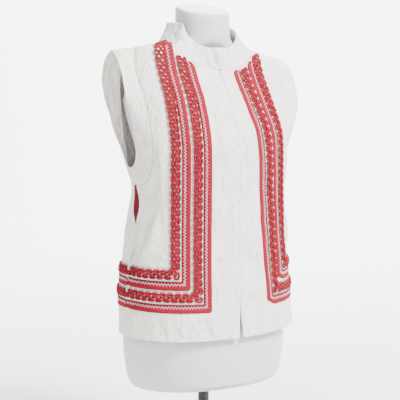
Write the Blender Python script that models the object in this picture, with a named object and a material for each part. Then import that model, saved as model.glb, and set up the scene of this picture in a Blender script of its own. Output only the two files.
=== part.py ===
"""Sleeveless folk vest of cream cloth with red looped braid, worn on a limbless dress form.

Metres, +Z up. The wearer faces -Y, so the wearer's left is +X. The origin is the centre of
the base plate's underside. The cloth is a thin wall on level sections of the torso; every
trim is made from the points of the panel that it is sewn on, moved out.
"""

import math

import bmesh
import bpy
import numpy as np
from mathutils import Vector

# Cloth walls and seams
CLOTH = 0.0018
BAND_CLOTH = 0.0026
SEAM_GAP = 0.0005
TRIM_GAP = 0.0005

# Heights on the vest
HEM = 0.2425
UNDERARM_SEAM = 0.531
SHOULDER_SEAM_OUT = 0.7787
NECK_SIDE = 0.7955
NECK_FRONT = 0.7445
NECK_BACK = 0.7880
NECK_HALF_WIDTH = 0.088
SHOULDER_TILT = 0.068
TILT_FROM = 0.60
TILT_FULL = 0.72
HEM_DIP = 0.006
DIP_FULL = 0.29
DIP_END = 0.42
DIP_REACH = 0.125

# Stand collar: how far its top edge leans in and stands up, in degrees round from the
# centre front, the wearer's left positive
COLLAR_COLUMNS = ("around", "inward", "rise")
COLLAR = [
    (-180, 0.0000, 0.0430),
    (-135, 0.0100, 0.0410),
    (-90, 0.0300, 0.0340),
    (-74, 0.0260, 0.0365),
    (-43, 0.0100, 0.0370),
    (0, -0.0050, 0.0435),
    (43, 0.0190, 0.0370),
    (74, 0.0290, 0.0365),
    (90, 0.0290, 0.0360),
    (135, 0.0100, 0.0410),
    (180, 0.0000, 0.0430),
]

# Front opening: closed edge to edge, with a short vent at the hem
VENT_TOP = 0.300
VENT_RIGHT = 0.0025
VENT_LEFT = 0.0070

# Trims, as distances from the band's inner line. That line runs down beside the opening,
# turns a mitred corner and follows the hem.
BAND_BOTTOM = 0.2960
BAND_LINE_COLUMNS = ("height", "right", "left")
BAND_LINE = [
    (0.2425, 0.0640, 0.0740),
    (0.3000, 0.0640, 0.0715),
    (0.4200, 0.0630, 0.0580),
    (0.5200, 0.0620, 0.0500),
    (0.6200, 0.0620, 0.0450),
    (0.6800, 0.0600, 0.0350),
    (0.7450, 0.0590, 0.0300),
    (0.7955, 0.0590, 0.0290),
]
BRAID_PITCH = 0.01425
SCALLOP = 0.0016
BRAID_THICK = 0.0042
TAPE_THICK = 0.0016
TRIM_END_GAP = 0.0045
TRIM_TIP = 0.4
MITRE_STEP = 0.0015
LEAST_COLUMN = 0.0008
LEAST_TURN = 0.02
SIDE_COLUMNS = 5
TRIM_ROWS = [
    # name, nearest edge, farthest edge, looped
    ("tape_inner", 0.0000, 0.0165, False),
    ("loop_braid_inner", 0.0190, 0.0395, True),
    ("tape_outer", 0.0420, 0.0585, False),
    ("loop_braid_outer", 0.0610, 0.0820, True),
]

# Level sections of the vest's outer face
SECTION_COLUMNS = ("height", "half_width", "front", "back", "centre_y", "squareness")
VEST_SECTIONS = [
    (0.2425, 0.1880, 0.1150, 0.1170, -0.0105, 2.3),
    (0.3000, 0.1845, 0.1155, 0.1170, -0.0080, 2.3),
    (0.3650, 0.1770, 0.1170, 0.1140, -0.0040, 2.3),
    (0.4300, 0.1690, 0.1125, 0.1060, -0.0080, 2.3),
    (0.4900, 0.1650, 0.1040, 0.0980, -0.0160, 2.3),
    (0.5150, 0.1640, 0.1010, 0.0950, -0.0190, 2.3),
    (0.5600, 0.1670, 0.1090, 0.0990, -0.0120, 2.3),
    (0.6200, 0.1750, 0.1110, 0.1040, -0.0070, 2.3),
    (0.6800, 0.1790, 0.0920, 0.1040, -0.0030, 2.3),
    (0.7200, 0.1800, 0.0700, 0.0960, 0.0000, 2.3),
    (0.7450, 0.1760, 0.0560, 0.0840, 0.0000, 2.3),
    (0.7650, 0.1680, 0.0490, 0.0730, 0.0000, 2.3),
    (0.7787, 0.1580, 0.0450, 0.0660, 0.0000, 2.3),
    (0.7890, 0.1150, 0.0420, 0.0610, 0.0000, 2.3),
    (0.7955, 0.0880, 0.0400, 0.0580, 0.0000, 2.3),
]

# Level sections of the dress form, the last column its slope from back to front. The vest
# rests on the form's left shoulder.
FORM_COLUMNS = SECTION_COLUMNS + ("slope",)
FORM_SECTIONS = [
    (0.1305, 0.1370, 0.0940, 0.0880, 0.0010, 2.2, -0.01),
    (0.1340, 0.1530, 0.1080, 0.0980, 0.0010, 2.3, -0.01),
    (0.1420, 0.1600, 0.1140, 0.1010, 0.0010, 2.3, -0.01),
    (0.1650, 0.1670, 0.1170, 0.1010, 0.0010, 2.3, 0.0),
    (0.2100, 0.1740, 0.1180, 0.1010, 0.0010, 2.3, 0.0),
    (0.2500, 0.1760, 0.1140, 0.1000, 0.0000, 2.3, 0.0),
    (0.3000, 0.1680, 0.1080, 0.1010, -0.0010, 2.3, 0.0),
    (0.3500, 0.1590, 0.1040, 0.0990, -0.0030, 2.2, 0.0),
    (0.4200, 0.1470, 0.0970, 0.0930, -0.0100, 2.2, 0.0),
    (0.4900, 0.1360, 0.0890, 0.0800, -0.0160, 2.2, 0.0),
    (0.5400, 0.1390, 0.0930, 0.0820, -0.0130, 2.2, 0.0),
    (0.6000, 0.1500, 0.1010, 0.0910, -0.0060, 2.2, 0.0),
    (0.6400, 0.1620, 0.0940, 0.0950, -0.0020, 2.2, 0.0),
    (0.6900, 0.1750, 0.0760, 0.0840, 0.0030, 2.3, 0.0),
    (0.7300, 0.1660, 0.0530, 0.0680, 0.0040, 2.2, 0.0),
    (0.7562, 0.1480, 0.0430, 0.0550, 0.0040, 2.2, 0.0),
    (0.7760, 0.1140, 0.0390, 0.0400, 0.0000, 2.1, 0.0),
    (0.7884, 0.0860, 0.0370, 0.0420, 0.0010, 2.1, 0.0),
    (0.7962, 0.0650, 0.0460, 0.0500, 0.0040, 2.0, 0.0),
    (0.8080, 0.0550, 0.0500, 0.0510, 0.0040, 2.0, 0.05),
    (0.8300, 0.0540, 0.0515, 0.0515, 0.0040, 2.0, 0.15),
    (0.8560, 0.0540, 0.0515, 0.0515, 0.0040, 2.0, 0.23),
    (0.8605, 0.0525, 0.0500, 0.0500, 0.0040, 2.0, 0.23),
    (0.8625, 0.0490, 0.0465, 0.0465, 0.0040, 2.0, 0.23),
]
FORM_SIDES = 28
ARM_PLATE_X = 0.172

# Soft folds pressed into the cloth: a line from start to end in degrees round from the
# centre front and height, with the fold's width and how far it stands out
FOLD_COLUMNS = ("angle_a", "height_a", "angle_b", "height_b", "width", "rise")
FOLDS = [
    (-58, 0.475, -76, 0.375, 0.014, 0.0045),
    (-88, 0.445, -88, 0.330, 0.010, -0.0040),
    (-72, 0.520, -82, 0.440, 0.012, -0.0035),
    (-9, 0.560, -8, 0.270, 0.010, 0.0020),
    (9, 0.540, 10, 0.260, 0.010, -0.0025),
    (60, 0.480, 78, 0.360, 0.014, 0.0045),
    (88, 0.450, 88, 0.330, 0.010, -0.0040),
    (-150, 0.560, -158, 0.395, 0.016, -0.0040),
    (160, 0.540, 166, 0.390, 0.016, 0.0040),
    (-172, 0.600, -176, 0.420, 0.014, 0.0030),
    (122, 0.520, 116, 0.380, 0.014, -0.0035),
    (-118, 0.530, -112, 0.400, 0.014, 0.0035),
]
FOLD_ARC = 0.14

# Heights of the panels' rows: beside the armhole, at the neckline, along the shoulder seam
# and round the back neckline
TRUNK_ROWS = 11
ARMHOLE_ROWS = [UNDERARM_SEAM, 0.5345, 0.545, 0.561, 0.582, 0.608, 0.637, 0.665, 0.691, 0.714, 0.732]
NECK_ROWS = [NECK_FRONT, 0.7470, 0.7520, 0.7600, 0.7700, SHOULDER_SEAM_OUT]
SHOULDER_ROWS = [0.7835, 0.7880, 0.7920, 0.7949]
BACK_NECK_ROWS = [0.7942, 0.7920, 0.7900, 0.7884]

# Armhole: its seam on the body, and the outer edge of the band
ARMHOLE_FRONT_DEG = 25.0
ARMHOLE_BACK_DEG = 27.0
UNDERARM_FLAT = 0.010
EDGE_Y = 0.009
EDGE_HALF_DEPTH = 0.046
EDGE_LOW_SHARE = 0.62
EDGE_FLAT = 0.005
EDGE_COLUMNS = ("height", "right", "left")
EDGE = [
    (0.5625, 0.1630, 0.1690),
    (0.5850, 0.1630, 0.1830),
    (0.6460, 0.1830, 0.2060),
    (0.7000, 0.2000, 0.2080),
    (0.7450, 0.2050, 0.2060),
    (0.7710, 0.2040, 0.2020),
]
BAND_BULGE = 0.003
BAND_ROWS = (0.0, 0.35, 0.72, 1.0)
BAND_TURN = (0.0, 0.5, 1.0, 1.0)

# Gusset under the arm: reach in front of and behind the side line at each height
GUSSET_COLUMNS = ("height", "front", "back")
GUSSET = [
    (0.4490, 0.0000, 0.0000),
    (0.4680, 0.0035, 0.0070),
    (0.4870, 0.0090, 0.0130),
    (0.5050, 0.0040, 0.0140),
    (0.5190, -0.0020, 0.0130),
    (0.5304, -0.0040, 0.0105),
]

GUSSET_TIP = 0.4560

# Stand
PLATE_RADIUS = 0.140
PLATE_THICK = 0.006
PLATE_EDGE = 0.0015
POLE_GAP = 0.0003
POLE_RADIUS = 0.0109
POLE_TOP = 0.1298

HOOK_X = -0.0045
HOOK_HEIGHT = 0.7385
HOOK_RADIUS = 0.0016
HOOK_THICK = 0.0012

COLOURS = {
    # finish: red, green, blue, roughness, metallic
    "cream_cloth": (0.83, 0.81, 0.77, 0.85, 0.0),
    "red_braid": (0.62, 0.03, 0.06, 0.70, 0.0),
    "deep_red_cloth": (0.30, 0.02, 0.04, 0.75, 0.0),
    "white_form": (0.80, 0.79, 0.79, 0.35, 0.0),
    "black_metal": (0.02, 0.02, 0.02, 0.40, 0.9),
}


def clear_scene():
    for item in list(bpy.data.objects):
        bpy.data.objects.remove(item, do_unlink=True)


def finish_material(name):
    found = bpy.data.materials.get(name)
    if found:
        return found
    red, green, blue, roughness, metallic = COLOURS[name]
    material = bpy.data.materials.new(name)
    material.use_nodes = True
    shader = material.node_tree.nodes["Principled BSDF"]
    shader.inputs["Base Color"].default_value = (red, green, blue, 1.0)
    shader.inputs["Roughness"].default_value = roughness
    shader.inputs["Metallic"].default_value = metallic
    return material


def add_object(name, mesh_builder, finish):
    """Turn a bmesh into a closed object whose faces point out."""
    bmesh.ops.remove_doubles(mesh_builder, verts=mesh_builder.verts, dist=1e-6)
    bmesh.ops.recalc_face_normals(mesh_builder, faces=mesh_builder.faces)
    mesh = bpy.data.meshes.new(name)
    mesh_builder.to_mesh(mesh)
    mesh_builder.free()
    mesh.shade_smooth()
    mesh.set_sharp_from_angle(angle=math.radians(40))
    mesh.materials.append(finish_material(finish))
    item = bpy.data.objects.new(name, mesh)
    bpy.context.scene.collection.objects.link(item)
    return item


def ease(value, low, high):
    """0 below low, 1 above high, smooth between."""
    t = min(max((value - low) / (high - low), 0.0), 1.0)
    return t * t * (3.0 - 2.0 * t)


def signed_power(value, exponent):
    return math.copysign(abs(value) ** exponent, value)


def read_table(table, columns, height):
    """The named columns at a height, on smooth curves through the table's rows."""
    heights = [row[0] for row in table]
    height = min(max(height, heights[0]), heights[-1])
    low = min(max(np.searchsorted(heights, height) - 1, 0), len(table) - 2)
    span = heights[low + 1] - heights[low]
    t = (height - heights[low]) / span
    found = {"height": height}
    for place, column in enumerate(columns[1:], start=1):
        values = [row[place] for row in table]

        def slope(i):
            before = max(i - 1, 0)
            after = min(i + 1, len(table) - 1)
            return (values[after] - values[before]) / (heights[after] - heights[before])

        start = values[low]
        end = values[low + 1]
        lead = slope(low) * span
        trail = slope(low + 1) * span
        found[column] = (
            start * (2 * t**3 - 3 * t**2 + 1)
            + lead * (t**3 - 2 * t**2 + t)
            + end * (3 * t**2 - 2 * t**3)
            + trail * (t**3 - t**2)
        )
    return found


def section_point(section, angle):
    """A point of a level section; angle 0 is the centre front, 90 degrees the left side."""
    power = 2.0 / section["squareness"]
    depth = section["front"] if math.cos(angle) > 0 else section["back"]
    x = section["half_width"] * signed_power(math.sin(angle), power)
    y = section["centre_y"] - depth * signed_power(math.cos(angle), power)
    return x, y


def fold_relief(angle, height):
    """How far the soft folds push the cloth out at a place."""
    relief = 0.0
    for row in FOLDS:
        fold = dict(zip(FOLD_COLUMNS, row))
        start = Vector((math.radians(fold["angle_a"]) * FOLD_ARC, fold["height_a"]))
        end = Vector((math.radians(fold["angle_b"]) * FOLD_ARC, fold["height_b"]))
        here = Vector((angle * FOLD_ARC, height))
        run = end - start
        along = (here - start).dot(run) / run.length_squared
        if not 0.0 < along < 1.0:
            continue
        aside = (here - start - run * along).length
        taper = math.sin(math.pi * along)
        relief += fold["rise"] * taper * math.exp(-((aside / fold["width"]) ** 2))
    return relief


def settle(point):
    """The vest sits a little askew: its right shoulder rides up, its left one drops, and
    the fronts hang lowest at the opening."""
    tilt = SHOULDER_TILT * point.x * ease(point.z, TILT_FROM, TILT_FULL)
    forward = max(-point.y / DIP_REACH, 0.0) ** 2
    dip = HEM_DIP * forward * (1.0 - ease(point.z, DIP_FULL, DIP_END))
    return Vector((point.x, point.y, point.z - tilt - dip))


def vest_point(angle, height):
    section = read_table(VEST_SECTIONS, SECTION_COLUMNS, height)
    x, y = section_point(section, angle)
    outward = Vector((x, y - section["centre_y"], 0.0)).normalized()
    point = Vector((x, y, height)) + outward * fold_relief(angle, height)
    return settle(point)


def vest_normal(angle, height):
    turn = 0.01
    rise = 0.0015
    high = min(height + rise, NECK_SIDE)
    low = max(height - rise, HEM)
    around = vest_point(angle + turn, height) - vest_point(angle - turn, height)
    upward = vest_point(angle, high) - vest_point(angle, low)
    return around.cross(upward).normalized()


def arc_table(height):
    """Angles from the centre front to the centre back and the cloth's length up to each."""
    section = read_table(VEST_SECTIONS, SECTION_COLUMNS, height)
    angles = np.linspace(0.0, math.pi, 181)
    places = np.array([section_point(section, angle) for angle in angles])
    steps = np.hypot(*np.diff(places, axis=0).T)
    return angles, np.concatenate([[0.0], np.cumsum(steps)])


def angle_at(distance, height):
    angles, lengths = arc_table(height)
    return float(np.interp(distance, lengths, angles))


def trim_angle(side, offset, height):
    """Where a line of the trims lies at a height, its offset measured from the band's
    inner line."""
    column = "left" if side > 0 else "right"
    start = read_table(BAND_LINE, BAND_LINE_COLUMNS, height)[column]
    return angle_at(start + offset, height)


def side_turn(reach, height, side="front"):
    """The angle that a short reach along the cloth takes at the side line."""
    section = read_table(VEST_SECTIONS, SECTION_COLUMNS, height)
    depth = section[side]
    quarter = (abs(reach) / depth) ** (section["squareness"] / 2.0)
    return math.copysign(math.asin(min(quarter, 1.0)), reach)


def neckline_angle(height, lowest):
    """Where the neckline lies at a height, from the centre towards the shoulder."""
    section = read_table(VEST_SECTIONS, SECTION_COLUMNS, height)
    t = min(max((height - lowest) / (NECK_SIDE - lowest), 0.0), 1.0)
    x = NECK_HALF_WIDTH * math.sqrt(1.0 - (1.0 - t) ** 2)
    share = min(x / section["half_width"], 1.0)
    return math.asin(share ** (section["squareness"] / 2.0))


def armhole_round(height):
    """0 at the armhole seam's top and bottom, 1 at its widest."""
    middle = (SHOULDER_SEAM_OUT + UNDERARM_SEAM) / 2.0
    half = (SHOULDER_SEAM_OUT - UNDERARM_SEAM) / 2.0
    across = (height - middle) / half
    return math.sqrt(max(1.0 - across * across, 0.0))


def armhole_angle(height, behind):
    """The armhole seam's angle, in front of or behind the side line."""
    section = read_table(VEST_SECTIONS, SECTION_COLUMNS, height)
    flat = UNDERARM_FLAT / section["front"] * (1.0 - ease(height, UNDERARM_SEAM, 0.70))
    widest = math.radians(ARMHOLE_BACK_DEG if behind else ARMHOLE_FRONT_DEG)
    return widest * armhole_round(height) ** 1.15 + flat


def gusset_reach(height, behind):
    """How far the gusset's edge lies from the side line, straight between its rows."""
    column = GUSSET_COLUMNS.index("back" if behind else "front")
    return float(np.interp(height, [row[0] for row in GUSSET], [row[column] for row in GUSSET]))


def panel_heights(neck_height):
    """Heights of a panel's rows: trunk, armhole and shoulder."""
    trunk = list(np.linspace(HEM, GUSSET[0][0], TRUNK_ROWS))
    gusset = [row[0] for row in GUSSET[1:]]
    heights = trunk + gusset + ARMHOLE_ROWS + NECK_ROWS + SHOULDER_ROWS
    return [height for height in heights if height < neck_height]


class Panel:
    """A cloth panel: rows of angles at level heights, read back between its points."""

    def __init__(self, rows):
        self.heights = [height for height, angles in rows]
        self.angles = [np.array(angles) for height, angles in rows]
        self.points = [[vest_point(a, z) for a in angles] for z, angles in rows]
        self.normals = [[vest_normal(a, z) for a in angles] for z, angles in rows]

    def on_row(self, row, place):
        """The point and normal at a place along a row, counted in columns."""
        left = min(int(place), len(self.points[row]) - 2)
        share = place - left
        point = self.points[row][left].lerp(self.points[row][left + 1], share)
        normal = self.normals[row][left].lerp(self.normals[row][left + 1], share)
        return point, normal

    def column_angles(self, height):
        """The columns' angles at a height, without their sign, from low to high."""
        low = int(np.searchsorted(self.heights, height)) - 1
        share = (height - self.heights[low]) / (self.heights[low + 1] - self.heights[low])
        angles = self.angles[low] * (1.0 - share) + self.angles[low + 1] * share
        return sorted(abs(angles))

    def at(self, angle, height, lift):
        """A point lifted off the panel's faces."""
        low = int(np.searchsorted(self.heights, height)) - 1
        low = min(max(low, 0), len(self.heights) - 2)
        share = (height - self.heights[low]) / (self.heights[low + 1] - self.heights[low])
        share = min(max(share, 0.0), 1.0)
        angles = self.angles[low] * (1.0 - share) + self.angles[low + 1] * share
        order = range(len(angles))
        if angles[0] > angles[-1]:
            place = float(np.interp(-angle, -angles, order))
        else:
            place = float(np.interp(angle, angles, order))
        below, normal_below = self.on_row(low, place)
        above, normal_above = self.on_row(low + 1, place)
        normal = normal_below.lerp(normal_above, share).normalized()
        return below.lerp(above, share) + normal * lift


def wall_from_rows(outer, inner, closed):
    """A closed wall between two like grids of points; closed joins each row's ends."""
    builder = bmesh.new()
    sheets = []
    for grid in (outer, inner):
        sheets.append([[builder.verts.new(point) for point in row] for row in grid])
    rows = len(outer)
    columns = len(outer[0])
    last = columns if closed else columns - 1
    for sheet in sheets:
        for row in range(rows - 1):
            for column in range(last):
                following = (column + 1) % columns
                low = sheet[row]
                high = sheet[row + 1]
                builder.faces.new((low[column], low[following], high[following], high[column]))
    front, rear = sheets
    for column in range(last):
        following = (column + 1) % columns
        for row in (0, rows - 1):
            builder.faces.new((front[row][column], front[row][following],
                               rear[row][following], rear[row][column]))
    if not closed:
        for row in range(rows - 1):
            for column in (0, columns - 1):
                builder.faces.new((front[row][column], front[row + 1][column],
                                   rear[row + 1][column], rear[row][column]))
    return builder


def bar_from_stations(stations):
    """A closed bar through like outlines, capped at both ends."""
    builder = bmesh.new()
    rings = [[builder.verts.new(point) for point in outline] for outline in stations]
    for ring, following in zip(rings, rings[1:]):
        for corner in range(len(ring)):
            other = (corner + 1) % len(ring)
            builder.faces.new((ring[corner], ring[other], following[other], following[corner]))
    builder.faces.new(rings[0])
    builder.faces.new(rings[-1])
    return builder


def front_columns(side, start, end, height):
    """Angles of a front's columns, which follow the trims' edges where there is room."""
    angles, lengths = arc_table(height)
    low = float(np.interp(start, angles, lengths))
    high = float(np.interp(end, angles, lengths))
    line = float(np.interp(trim_angle(side, 0.0, height), angles, lengths))
    wanted = [0.0, line / 2.0]
    for name, near, far, looped in TRIM_ROWS:
        wanted += [line + near, line + far]
    last = wanted[-1]
    wanted += [last + (max(high, last) - last) * step / SIDE_COLUMNS
               for step in range(1, SIDE_COLUMNS + 1)]
    count = len(wanted)
    least = min(LEAST_COLUMN, (high - low) / (2.0 * count))
    columns = []
    for place, distance in enumerate(wanted):
        distance = max(distance, low + least * place)
        distance = min(distance, high - least * (count - 1 - place))
        columns.append(angle_at(distance, height))
    columns[0] = start
    columns[-1] = end
    return columns


def front_rows(side):
    """Rows of one front from its opening or neckline to its side seam or armhole."""
    rows = []
    for height in panel_heights(NECK_SIDE):
        section = read_table(VEST_SECTIONS, SECTION_COLUMNS, height)
        vent = VENT_LEFT if side > 0 else VENT_RIGHT
        open_by = SEAM_GAP / 2.0 + vent * max((VENT_TOP - height) / (VENT_TOP - HEM), 0.0)
        power = section["squareness"] / 2.0
        start = math.asin((open_by / section["half_width"]) ** power)
        if height > NECK_FRONT:
            start = neckline_angle(height, NECK_FRONT)
            start += SEAM_GAP / section["half_width"]
        end = math.pi / 2.0 - side_turn(SEAM_GAP / 2.0, height)
        if height <= GUSSET[-1][0]:
            end = math.pi / 2.0 - side_turn(gusset_reach(height, False) + SEAM_GAP / 2.0, height)
        elif height < SHOULDER_SEAM_OUT:
            end = math.pi / 2.0 - armhole_angle(height, False) - SEAM_GAP / section["front"]
        rows.append((height, [side * angle for angle in front_columns(side, start, end, height)]))
    return rows


def make_front(name, side):
    panel = Panel(front_rows(side))
    outer = panel.points
    inner = [
        [point - normal * CLOTH for point, normal in zip(points, normals)]
        for points, normals in zip(panel.points, panel.normals)
    ]
    add_object(name, wall_from_rows(outer, inner, False), "cream_cloth")
    return panel


def back_end_angle(height):
    """Half the back's span, from the centre back to its edge, at a height."""
    section = read_table(VEST_SECTIONS, SECTION_COLUMNS, height)
    if height <= GUSSET[-1][0]:
        reach = gusset_reach(height, True) + SEAM_GAP / 2.0
        return math.pi / 2.0 - side_turn(reach, height, "back")
    if height < SHOULDER_SEAM_OUT:
        return math.pi / 2.0 - armhole_angle(height, True) - SEAM_GAP / section["back"]
    return math.pi / 2.0 - side_turn(SEAM_GAP / 2.0, height, "back")


def back_neck_edge():
    """Half of the back's top edge: along the shoulder seam, then down the neckline."""
    edge = []
    for height in [SHOULDER_SEAM_OUT] + SHOULDER_ROWS:
        edge.append((back_end_angle(height), height))
    for height in BACK_NECK_ROWS:
        section = read_table(VEST_SECTIONS, SECTION_COLUMNS, height)
        inset = SEAM_GAP / section["half_width"]
        edge.append((neckline_angle(height, NECK_BACK) + inset, height))
    return edge


def make_back():
    half_edge = back_neck_edge()
    columns = 2 * len(half_edge) + 1
    rows = []
    for height in panel_heights(SHOULDER_ROWS[0]):
        half = back_end_angle(height)
        rows.append((height, list(np.linspace(math.pi + half, math.pi - half, columns))))
    panel = Panel(rows)
    top = [(math.pi + angle, height) for angle, height in half_edge]
    top.append((math.pi, NECK_BACK - SEAM_GAP))
    top += [(math.pi - angle, height) for angle, height in reversed(half_edge)]
    last_angles = rows[-1][1]
    points = list(panel.points)
    normals = list(panel.normals)
    for share in (0.5, 1.0):
        mixed = []
        for (angle, height), start in zip(top, last_angles):
            mixed.append((start + (angle - start) * share,
                          SHOULDER_SEAM_OUT + (height - SHOULDER_SEAM_OUT) * share))
        points.append([vest_point(a, z) for a, z in mixed])
        normals.append([vest_normal(a, z) for a, z in mixed])
    inner = [
        [point - normal * CLOTH for point, normal in zip(row, row_normals)]
        for row, row_normals in zip(points, normals)
    ]
    add_object("back", wall_from_rows(points, inner, False), "cream_cloth")
    return panel


def make_gusset(name, side):
    """The red gusset between the front's and the back's side edges."""
    rows = []
    for height in [GUSSET_TIP] + [row[0] for row in GUSSET[1:-1]] + [GUSSET[-1][0] - SEAM_GAP]:
        front = side_turn(gusset_reach(height, False) - SEAM_GAP / 2.0, height)
        back = side_turn(-(gusset_reach(height, True) - SEAM_GAP / 2.0), height, "back")
        angles = np.linspace(math.pi / 2.0 - front, math.pi / 2.0 - back, 4) * side
        rows.append((height, list(angles)))
    panel = Panel(rows)
    inner = [
        [point - normal * CLOTH for point, normal in zip(points, normals)]
        for points, normals in zip(panel.points, panel.normals)
    ]
    add_object(name, wall_from_rows(panel.points, inner, False), "deep_red_cloth")


def armhole_edge_point(side, height, behind):
    """The point of the armhole's open edge that faces a point of its seam."""
    share = (height - UNDERARM_SEAM) / (SHOULDER_SEAM_OUT - UNDERARM_SEAM)
    z = EDGE[0][0] + (EDGE[-1][0] - EDGE[0][0]) * share
    spread = EDGE_LOW_SHARE + (1.0 - EDGE_LOW_SHARE) * share
    reach = EDGE_HALF_DEPTH * armhole_round(height) ** 1.25 * spread + EDGE_FLAT * (1.0 - share)
    y = EDGE_Y + (reach if behind else -reach)
    x = read_table(EDGE, EDGE_COLUMNS, z)["left" if side > 0 else "right"]
    return settle(Vector((side * x, y, z)))


def make_armhole_band(name, side):
    """The wide band round an armhole, from its seam out to its open edge."""
    heights = [z for z in panel_heights(NECK_SIDE) if UNDERARM_SEAM <= z <= SHOULDER_SEAM_OUT]
    loop = [(z, False) for z in heights]
    loop += [(z, True) for z in reversed(heights[:-1])]
    seam = []
    seam_normals = []
    edge = []
    for height, behind in loop:
        turn = armhole_angle(height, behind)
        angle = side * (math.pi / 2.0 + (turn if behind else -turn))
        seam.append(vest_point(angle, height))
        seam_normals.append(vest_normal(angle, height))
        edge.append(armhole_edge_point(side, height, behind))
    count = len(seam)
    starts = []
    for place, normal in enumerate(seam_normals):
        along = seam[(place + 1) % count] - seam[place - 1]
        clear = normal.cross(along).normalized()
        if clear.dot(edge[place] - seam[place]) < 0:
            clear = -clear
        starts.append(seam[place] + clear * SEAM_GAP)
    lines = []
    for share in BAND_ROWS:
        swell = Vector((side, 0.0, 0.0)) * BAND_BULGE * math.sin(math.pi * share)
        lines.append([start.lerp(end, share) + swell for start, end in zip(starts, edge)])
    outer = []
    inner = []
    across = edge[0] - starts[0]
    turn = (starts[1] - starts[-1]).cross(across)
    facing = 1.0 if turn.dot(seam_normals[0]) > 0 else -1.0
    for row, line in enumerate(lines):
        outer_row = []
        inner_row = []
        for column in range(count):
            around = line[(column + 1) % count] - line[column - 1]
            low = lines[max(row - 1, 0)][column]
            high = lines[min(row + 1, len(lines) - 1)][column]
            normal = around.cross(high - low).normalized() * facing
            normal = seam_normals[column].lerp(normal, BAND_TURN[row]).normalized()
            outer_row.append(line[column] + normal * BAND_CLOTH * 0.45)
            inner_row.append(line[column] - normal * BAND_CLOTH * 0.55)
        outer.append(outer_row)
        inner.append(inner_row)
    add_object(name, wall_from_rows(outer, inner, True), "cream_cloth")


def make_collar():
    """The stand collar, from the right front edge round the back to the left one."""
    front = [z for z in panel_heights(NECK_SIDE) if z >= NECK_FRONT]
    half = []
    for height in front:
        half.append((neckline_angle(height, NECK_FRONT), height))
    for height in BACK_NECK_ROWS:
        half.append((math.pi - neckline_angle(height, NECK_BACK), height))
    places = [(-angle, height) for angle, height in half]
    places.append((math.pi, NECK_BACK))
    places += [(angle, height) for angle, height in reversed(half)]
    rows = []
    for share in (0.0, 0.5, 1.0):
        row = []
        for index, (angle, height) in enumerate(places):
            base = vest_point(angle, height)
            if index == 0:
                base.x = -SEAM_GAP / 2.0
            if index == len(places) - 1:
                base.x = SEAM_GAP / 2.0
            around = math.degrees(math.atan2(base.x, -base.y))
            edge = read_table(COLLAR, COLLAR_COLUMNS, around)
            inward = Vector((-base.x, -base.y, 0.0)).normalized()
            inward *= edge["inward"] * share ** 0.7
            upward = Vector((0.0, 0.0, SEAM_GAP + edge["rise"] * share))
            row.append(base + inward + upward)
        rows.append(row)
    outer = rows
    inner = []
    for row in rows:
        inner_row = []
        for index, point in enumerate(row):
            before = row[max(index - 1, 0)]
            after = row[min(index + 1, len(row) - 1)]
            along = after - before
            outward = Vector((along.y, -along.x, 0.0)).normalized()
            if outward.dot(Vector((point.x, point.y, 0.0))) < 0:
                outward = -outward
            if index in (0, len(row) - 1):
                outward = Vector((0.0, -1.0, 0.0))
            inner_row.append(point - outward * CLOTH)
        inner.append(inner_row)
    add_object("collar", wall_from_rows(outer, inner, False), "cream_cloth")


def trim_edge(side, offset, height):
    """A trim line's angle at a height, kept clear of the neckline and the shoulder seam."""
    angle = trim_angle(side, offset, height)
    if height > NECK_FRONT:
        neck = neckline_angle(height, NECK_FRONT)
        angle = max(angle, neck + TRIM_END_GAP / NECK_HALF_WIDTH)
    if height > SHOULDER_SEAM_OUT:
        angles, lengths = arc_table(height)
        quarter = float(np.interp(math.pi / 2.0, angles, lengths))
        angle = min(angle, float(np.interp(quarter - TRIM_END_GAP, lengths, angles)))
    return angle


def trim_top(side, near, far):
    """How high a trim reaches before the neckline or the shoulder seam closes it off."""
    top = NECK_FRONT
    for height in np.arange(NECK_FRONT, NECK_SIDE - 0.001, 0.0005):
        angles, lengths = arc_table(height)
        span = [trim_edge(side, offset, height) for offset in (near, far)]
        width = float(np.diff(np.interp(span, angles, lengths))[0])
        if width < TRIM_TIP * (far - near):
            break
        top = float(height)
    return top


def trim_outline(panel, near, far, rise):
    """Four corners of a trim at one station: near and far edges as (angle, height)."""
    low = []
    high = []
    for angle, height in (near, far):
        low.append(panel.at(angle, height, TRIM_GAP))
        high.append(panel.at(angle, height, TRIM_GAP + rise))
    return [low[0], low[1], high[1], high[0]]


def trim_shape(step, looped):
    """Edge inset and thickness at a station; looped cord swells once in each pitch."""
    if not looped:
        return 0.0, TAPE_THICK
    if step % 2:
        return 0.0, BRAID_THICK
    return SCALLOP, BRAID_THICK * 0.72


def share_out(stops, place_at, spacing):
    """Stations at all the stops, with others evenly between those that lie far apart."""
    stations = [stops[0]]
    for start, end in zip(stops, stops[1:]):
        length = (place_at(end) - place_at(start)).length
        parts = max(int(round(length / spacing)), 1)
        stations += [start + (end - start) * part / parts for part in range(1, parts + 1)]
    return stations


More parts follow.
